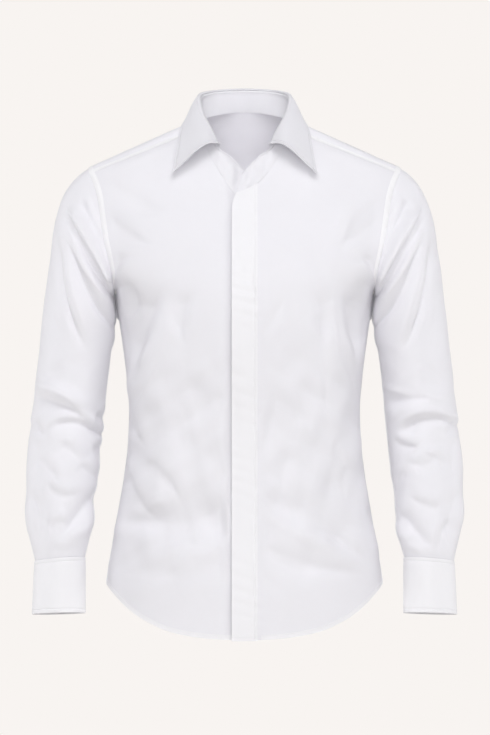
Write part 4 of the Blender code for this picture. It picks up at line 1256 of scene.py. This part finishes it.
backCut = {"flat": (0.53, 0.64), "area": 0.29, "sideFell": (0.7, 6.2), "sideStitches": (1.6, 5.4)}
normal = bodyNormal(back)
panel = sunkEdges(insetEdges(back, ("left", "right", "top")), ("left", "right", "top"), normal)
backPiece = shell("shirt_back", panel, shellWall, poplin, ["back_panel"])
face = panel, normal
upper, lower = cut(face, armholeRows), cut(face, slice(fine, segments["side"] + 1))
parts = []
sewing = [edgeLine(face, "bottom", hem["stitch"], onBand)]
for edge in ("left", "right"):
    parts.append(addBand("fell_back_" + edge, upper, edge, fell["reach"], poplinFelled))
    parts.append(addBand("side_fell_" + edge, lower, edge, backCut["sideFell"], poplinDoubled))
    sewing.append(edgeLine(upper, edge, fell["stitch"], onBand))
    sewing += [edgeLine(lower, edge, distance, onBand) for distance in backCut["sideStitches"]]
parts.append(addBand("hem_back", face, "bottom", hem["reach"], poplinDoubled))
parts.append(stitches("stitches_back", sewing))
print("back made")

yokeCut = {"flat": (0.50, 0.26), "area": 0.065, "welt": (0.2, 5.2), "weltStitches": (1.4, 4.4),
           "backStitch": 1.8}
normal = bodyNormal(yoke)
panel = sunkEdges(insetEdges(yoke, ("left", "right", "top", "bottom")), ("left", "right"), normal)
yokePiece = shell("shirt_yoke", panel, shellWall, poplin, ["yoke"])
face = panel, normal
yokeSide = segments["yokeArmhole"]
parts, sewing = [], []
for place, columns in (("left", slice(0, yokeSide + 1)), ("right", slice(-yokeSide - 1, None))):
    ends = cut(face, columns=columns)
    parts.append(addBand("fell_yoke_" + place, ends, "top", fell["reach"], poplinFelled))
    sewing.append(edgeLine(ends, "top", fell["stitch"], onBand))
middle = cut(face, slice(3, -3))
for edge in ("left", "right"):
    parts.append(addBand("welt_yoke_" + edge, middle, edge, yokeCut["welt"], poplinFelled))
    sewing += [edgeLine(middle, edge, distance, onBand) for distance in yokeCut["weltStitches"]]
behind = cut(face, columns=slice(yokeSide, -yokeSide))
sewing.append(edgeLine(behind, "top", yokeCut["backStitch"], onCloth))
parts.append(stitches("stitches_yoke", sewing))

placketCut = {"flat": (0.036, 0.63), "stitch": 3.4}
strip = grooved(placketGrid(leftFront), ("right",), placketCut["stitch"])
placket = shell("shirt_placket", insetEdges(strip, ("top",)), placketPlan["shell"], poplinDoubled,
                ["placket"])
face = strip, bodyNormal(strip)
over = placketPlan["shell"] / 2 + 0.1
sewing = [edgeLine(face, "right", placketCut["stitch"], over),
          edgeLine(face, "bottom", hem["stitch"], over)]
parts = [stitches("stitches_placket", sewing)]
print("yoke and placket made")

standCut = {"flat": (0.50, 0.042), "area": 0.0145, "stitch": 1.8, "groove": 2.4, "grooveDeep": 1.8}
standPoints = grooved(collarStand, ("top",), standCut["groove"], 1, standCut["grooveDeep"])
obj = shell("shirt_collar_stand", standPoints, stand["shell"], poplin, ["collar_stand"])
face = collarStand, normalsOf(collarStand)
over = stand["shell"] / 2 + stitch["above"]
tabs = [cut(face, columns=slice(1, segments["fold"] + 4)),
        cut(face, columns=slice(-segments["fold"] - 4, -1))]
sewing = [edgeLine(face, "bottom", standCut["stitch"], lift) for lift in (over, -over)]
sewing += [edgeLine(tab, "top", standCut["stitch"], over) for tab in tabs]
parts = [stitches("stitches_stand", sewing)]

leafCut = {"shell": 1.4, "flat": (0.46, 0.075), "area": 0.0245, "stitch": 4.6, "grooveDeep": 1.6}
leafPoints = grooved(leafGrid(collarStand), ("top", "left", "right"), leafCut["stitch"], -1,
                     leafCut["grooveDeep"])
# The leaf takes the darker poplin copy, which is painted shade over its whole fall
obj = shell("shirt_collar_leaf", leafPoints, leafCut["shell"], poplinPaintedShade,
            ["collar_leaf"], inverted=True)
face = leafPoints, -normalsOf(leafPoints)
over = leafCut["shell"] / 2 + stitch["above"]
fall = cut(face, slice(leaf["rollRows"], None))
sewing = [edgeLine(part, edge, leafCut["stitch"], over)
          for part, edge in ((face, "top"), (fall, "left"), (fall, "right"))]
parts = [stitches("stitches_leaf", sewing)]
print("collar made")

sleeveCut = {"flat": (0.46, 0.60), "area": 0.195, "fell": (0.2, 5.8), "stitches": (1.2, 4.9)}
slitCut = {"flat": (0.026, 0.15), "sideStitch": 2.0, "endStitch": 2.2}
cuffCut = {"shell": 1.6, "flat": (0.262, 0.072), "stitch": 5.2}
cuffPoints = grooved(cuffGrid(), ("bottom", "top", "right"), cuffCut["stitch"])
for side, flip in (("left", False), ("right", True)):
    grid = sleeveGrid(side)
    sleevePiece = shell("shirt_sleeve_" + side, grid, shellWall, poplin, ["sleeve_" + side],
                        flip, tube=True, inverted=True)
    seam = cut((grid, -normalsOf(grid, True)), slice(fine, -4), slice(0, 2 * fine))
    parts = [addBand("fell_sleeve_" + side, seam, "left", sleeveCut["fell"], poplinDoubled, flip)]
    sewing = [edgeLine(seam, "left", distance, onBand) for distance in sleeveCut["stitches"]]
    parts.append(stitches("stitches_sleeve_" + side, sewing, flip))

    strip = sleevePlacketGrid(grid)
    obj = shell("shirt_sleeve_placket_" + side, strip, shellWall, poplinDoubled,
                ["sleeve_placket_" + side], flip, inverted=True)
    face = strip, -normalsOf(strip)
    above, between = cut(face, slice(3, None)), cut(face, columns=slice(3, -3))
    sewing = [edgeLine(above, edge, slitCut["sideStitch"], onCloth) for edge in ("left", "right")]
    sewing.append(edgeLine(between, "bottom", slitCut["endStitch"], onCloth))
    parts = [stitches("stitches_slit_" + side, sewing, flip)]

    obj = shell("shirt_cuff_" + side, cuffPoints, cuffCut["shell"], poplinDoubled,
                ["cuff_" + side], flip)
    face = cuffPoints, normalsOf(cuffPoints)
    over = cuffCut["shell"] / 2 + stitch["above"]
    sewing = [edgeLine(part, edge, cuffCut["stitch"], over)
              for part, edge in ((face, "bottom"), (face, "top"), (cut(face, slice(3, -3)), "right"))]
    parts = [stitches("stitches_cuff_" + side, sewing, flip)]
print("sleeves and cuffs made")

# Radius and height of the turned profile, from the middle of the face round the rim to the back
button = {
    "thick": 1.8, "round": 36, "dense": 64, "faceEnd": 13,
    "holeOut": 1.35, "holeWide": 0.85, "deep": 1.5,
    "radius": (0, 0.5, 0.9, 1.3, 1.7, 2.1, 2.5, 3.1, 3.7, 4.0, 4.4, 4.9, 5.3, 5.47, 5.5, 5.42, 4.9, 2.5, 0),
    "height": (0.42, 0.42, 0.42, 0.42, 0.42, 0.42, 0.42, 0.45, 0.6, 0.82, 0.9, 0.88, 0.66, 0.4, 0,
               -0.45, -0.9, -0.9, -0.9),
}


# A turned button on the XY plane: rim, well and back read from one profile by radius, with four
# holes sunk where a place is nearer than the hole's radius to its centre
def buttonPoints():
    number = np.arange(len(button["radius"]))
    dense = np.linspace(0, number[-1], button["dense"])
    r, z = (np.interp(dense, number, button[key]) for key in ("radius", "height"))
    turn = np.linspace(0, 2 * math.pi, button["round"] + 1)[None]
    x, y = r[:, None] * np.cos(turn), r[:, None] * np.sin(turn)
    away = np.hypot(np.abs(x) - button["holeOut"], np.abs(y) - button["holeOut"])
    sunk = button["deep"] * ease((button["holeWide"] - away) / 0.25)
    z = z[:, None] - np.where((dense < button["faceEnd"])[:, None], sunk, 0)
    return np.stack([x, y, z], axis=-1)


crossing = {"half": 1.9, "thick": 0.26, "rise": 0.42, "arch": 0.35, "over": 0.32, "into": 0.5}


# The sewing through the holes: two crossed bars, each a low arch that dives in at its ends
def buttonThread():
    turn = np.linspace(0, 2 * math.pi, 9)
    along = np.linspace(-1, 1, 13)[:, None]
    section = crossing["thick"] * np.stack([np.cos(turn), np.sin(turn)], axis=-1)[None]
    bars = []
    for way, over in ((45, 0.0), (135, crossing["over"])):
        arch = crossing["rise"] + (crossing["arch"] + over) * (1 - along ** 2)
        x = crossing["half"] * along + 0 * turn[None]
        y = 0 * along + section[..., 0]
        z = arch + section[..., 1] - crossing["into"] * np.abs(along) ** 8
        c, s = math.cos(math.radians(way)), math.sin(math.radians(way))
        bars.append(np.stack([c * x - s * y, s * x + c * y, z], axis=-1))
    return bars


# Turns points on the XY plane to stand on a spot and face a way
def turned(points, spot, facing):
    matrix = np.array(Vector(facing).to_track_quat("Z", "Y").to_matrix())
    return points @ matrix.T + spot


fastened = {"topZ": -128, "step": 92, "count": 6, "seat": 0.7, "collarOut": 2.25}


# Front buttons lie on the right front, under the placket, one step below another
def frontButtonPlace(number):
    spot = bodyPoint(np.array([[0.0, fastened["topZ"] - number * fastened["step"]]]))
    facing = bodyNormal(spot)[0]
    out = clothWall / 2 + fastened["seat"] + button["thick"] / 2 - dip["deep"]
    return spot[0] + out * facing, facing


# The collar button lies on the tab at the stand's right end, a little above the middle of its rows
def collarButtonPlace():
    upperRow = 2 * stand["rows"] // 3
    tab = (collarStand[stand["rows"] // 3] + 3 * collarStand[upperRow]) / 4
    facing = normalsOf(collarStand)[upperRow, -1 - fine]
    return (tab[-1] + tab[-1 - fine]) / 2 + fastened["collarOut"] * facing, facing


# The cuff's button lies on the middle of the lap
def cuffButtonPlace():
    angle = np.array([[cuff["lapStart"] + cuff["lap"] / 2.0]])
    row = (cuffTop + cuffBottom) / 2
    out = cuff["wall"] + play + cuff["wall"] / 2 + fastened["seat"] + button["thick"] / 2
    spot = armRing([row], angle, out)[0, 0]
    return spot, unit(spot - armRing([row], angle)[0, 0])


buttonGrid = buttonPoints()
places = [("front_button_%d" % (n + 1), *frontButtonPlace(n), False) for n in range(fastened["count"])]
places.append(("collar_button", *collarButtonPlace(), False))
places += [("cuff_button_" + side, *cuffButtonPlace(), side == "right") for side in ("left", "right")]
for node, spot, facing, flip in places:
    grid = turned(buttonGrid, spot, facing)
    settle(revolved("shirt_" + node, grid, resin, flip), [node])
    for count, bar in enumerate(buttonThread()):
        settle(revolved("thread_%s_%d" % (node, count), turned(bar, spot, facing), thread, flip))
print("buttons made")

stage = {
    "floorZ": -1.25, "floorAcross": 4.4, "paper": (0.939, 0.905, 0.880),
    "glow": (0.99, 0.985, 1.0), "glowStrength": 0.29,
}
bpy.ops.mesh.primitive_circle_add(vertices=96, radius=stage["floorAcross"] / 2, fill_type="NGON",
                                  location=(0, 0, stage["floorZ"]))
floor = bpy.context.object
floor.name = "floor"
floor.data.materials.append(paperMaterial())

# The camera sees the paper's own tone, and the pieces are lit by a dimmer glow
world = bpy.data.worlds.new("studio")
bpy.context.scene.world = world
world.use_nodes = True
tree = world.node_tree
tree.nodes.clear()
seen = addNode(tree, "Background", {"Color": (*stage["paper"], 1)})
glow = addNode(tree, "Background", {"Color": (*stage["glow"], 1), "Strength": stage["glowStrength"]})
path = addNode(tree, "LightPath", {})
mix = addNode(tree, "MixShader", {0: path.outputs["Is Camera Ray"], 1: glow.outputs[0], 2: seen.outputs[0]})
addNode(tree, "OutputWorld", {"Surface": mix.outputs[0]})

lamps = (
    {"name": "front", "at": (0.1, -5.2, 0.2), "aim": (0, 0, -0.3), "size": (2.6, 2.0), "power": 65},
    {"name": "above", "at": (0.1, -2.4, 2.2), "aim": (0, 0, -0.3), "size": (2.4, 1.6), "power": 51},
    {"name": "front_left", "at": (3.8, -2.2, 0.4), "aim": (0, 0, -0.35), "size": (1.6, 2.4), "power": 22},
    {"name": "front_right", "at": (-3.8, -2.2, 0.4), "aim": (0, 0, -0.35), "size": (1.6, 2.4), "power": 20},
    {"name": "rim_left", "at": (3.6, 0.9, -1.0), "aim": (0, 0, -0.4), "size": (1.2, 2.0), "power": 38},
    {"name": "rim_right", "at": (-3.6, 0.9, -1.0), "aim": (0, 0, -0.4), "size": (1.2, 2.0), "power": 46},
    {"name": "behind", "at": (0.0, 3.6, 0.4), "aim": (0, 0, -0.3), "size": (2.6, 1.8), "power": 60},
    {"name": "neck", "at": (0.0, -3.5, -0.6), "aim": (0, 0, 0.0), "size": (2.2, 0.7), "power": 33,
     "tint": (0.995, 0.975, 1.0), "only": ("shirt_yoke", "shirt_back")},
    {"name": "collar", "at": (0.0, 0.5, 2.0), "aim": (0, 0, 0.0), "size": (0.4, 0.4), "power": 5,
     "only": ("shirt_collar_leaf",)},
)
for lamp in lamps:
    data = bpy.data.lights.new(lamp["name"], "AREA")
    data.shape = "RECTANGLE"
    data.size, data.size_y = lamp["size"]
    data.energy = lamp["power"]
    data.color = lamp.get("tint", (1, 1, 1))
    obj = bpy.data.objects.new(lamp["name"], data)
    obj.location = lamp["at"]
    way = Vector(lamp["aim"]) - Vector(lamp["at"])
    obj.rotation_euler = way.to_track_quat("-Z", "Y").to_euler()
    bpy.context.scene.collection.objects.link(obj)
    if "only" in lamp:  # this lamp lights the named pieces alone
        group = bpy.data.collections.new("lit_by_" + lamp["name"])
        for piece in bpy.context.scene.objects:
            if piece.type == "MESH" and any(word in piece.name for word in lamp["only"]):
                group.objects.link(piece)
        obj.light_linking.receiver_collection = group
        obj.light_linking.blocker_collection = group

view = {"away": 4.0, "x": 0.0007, "z": -0.344, "tall": 1.0437, "sensor": 36.0}
cameraData = bpy.data.cameras.new("camera")
cameraData.sensor_width = view["sensor"]
cameraData.lens = view["sensor"] * view["away"] / view["tall"]
camera = bpy.data.objects.new("camera", cameraData)
camera.location = (view["x"], -view["away"], view["z"])
camera.rotation_euler = (math.radians(90), 0, 0)
bpy.context.scene.collection.objects.link(camera)
bpy.context.scene.camera = camera
bpy.context.scene.view_settings.view_transform = "Standard"
print("stage set")
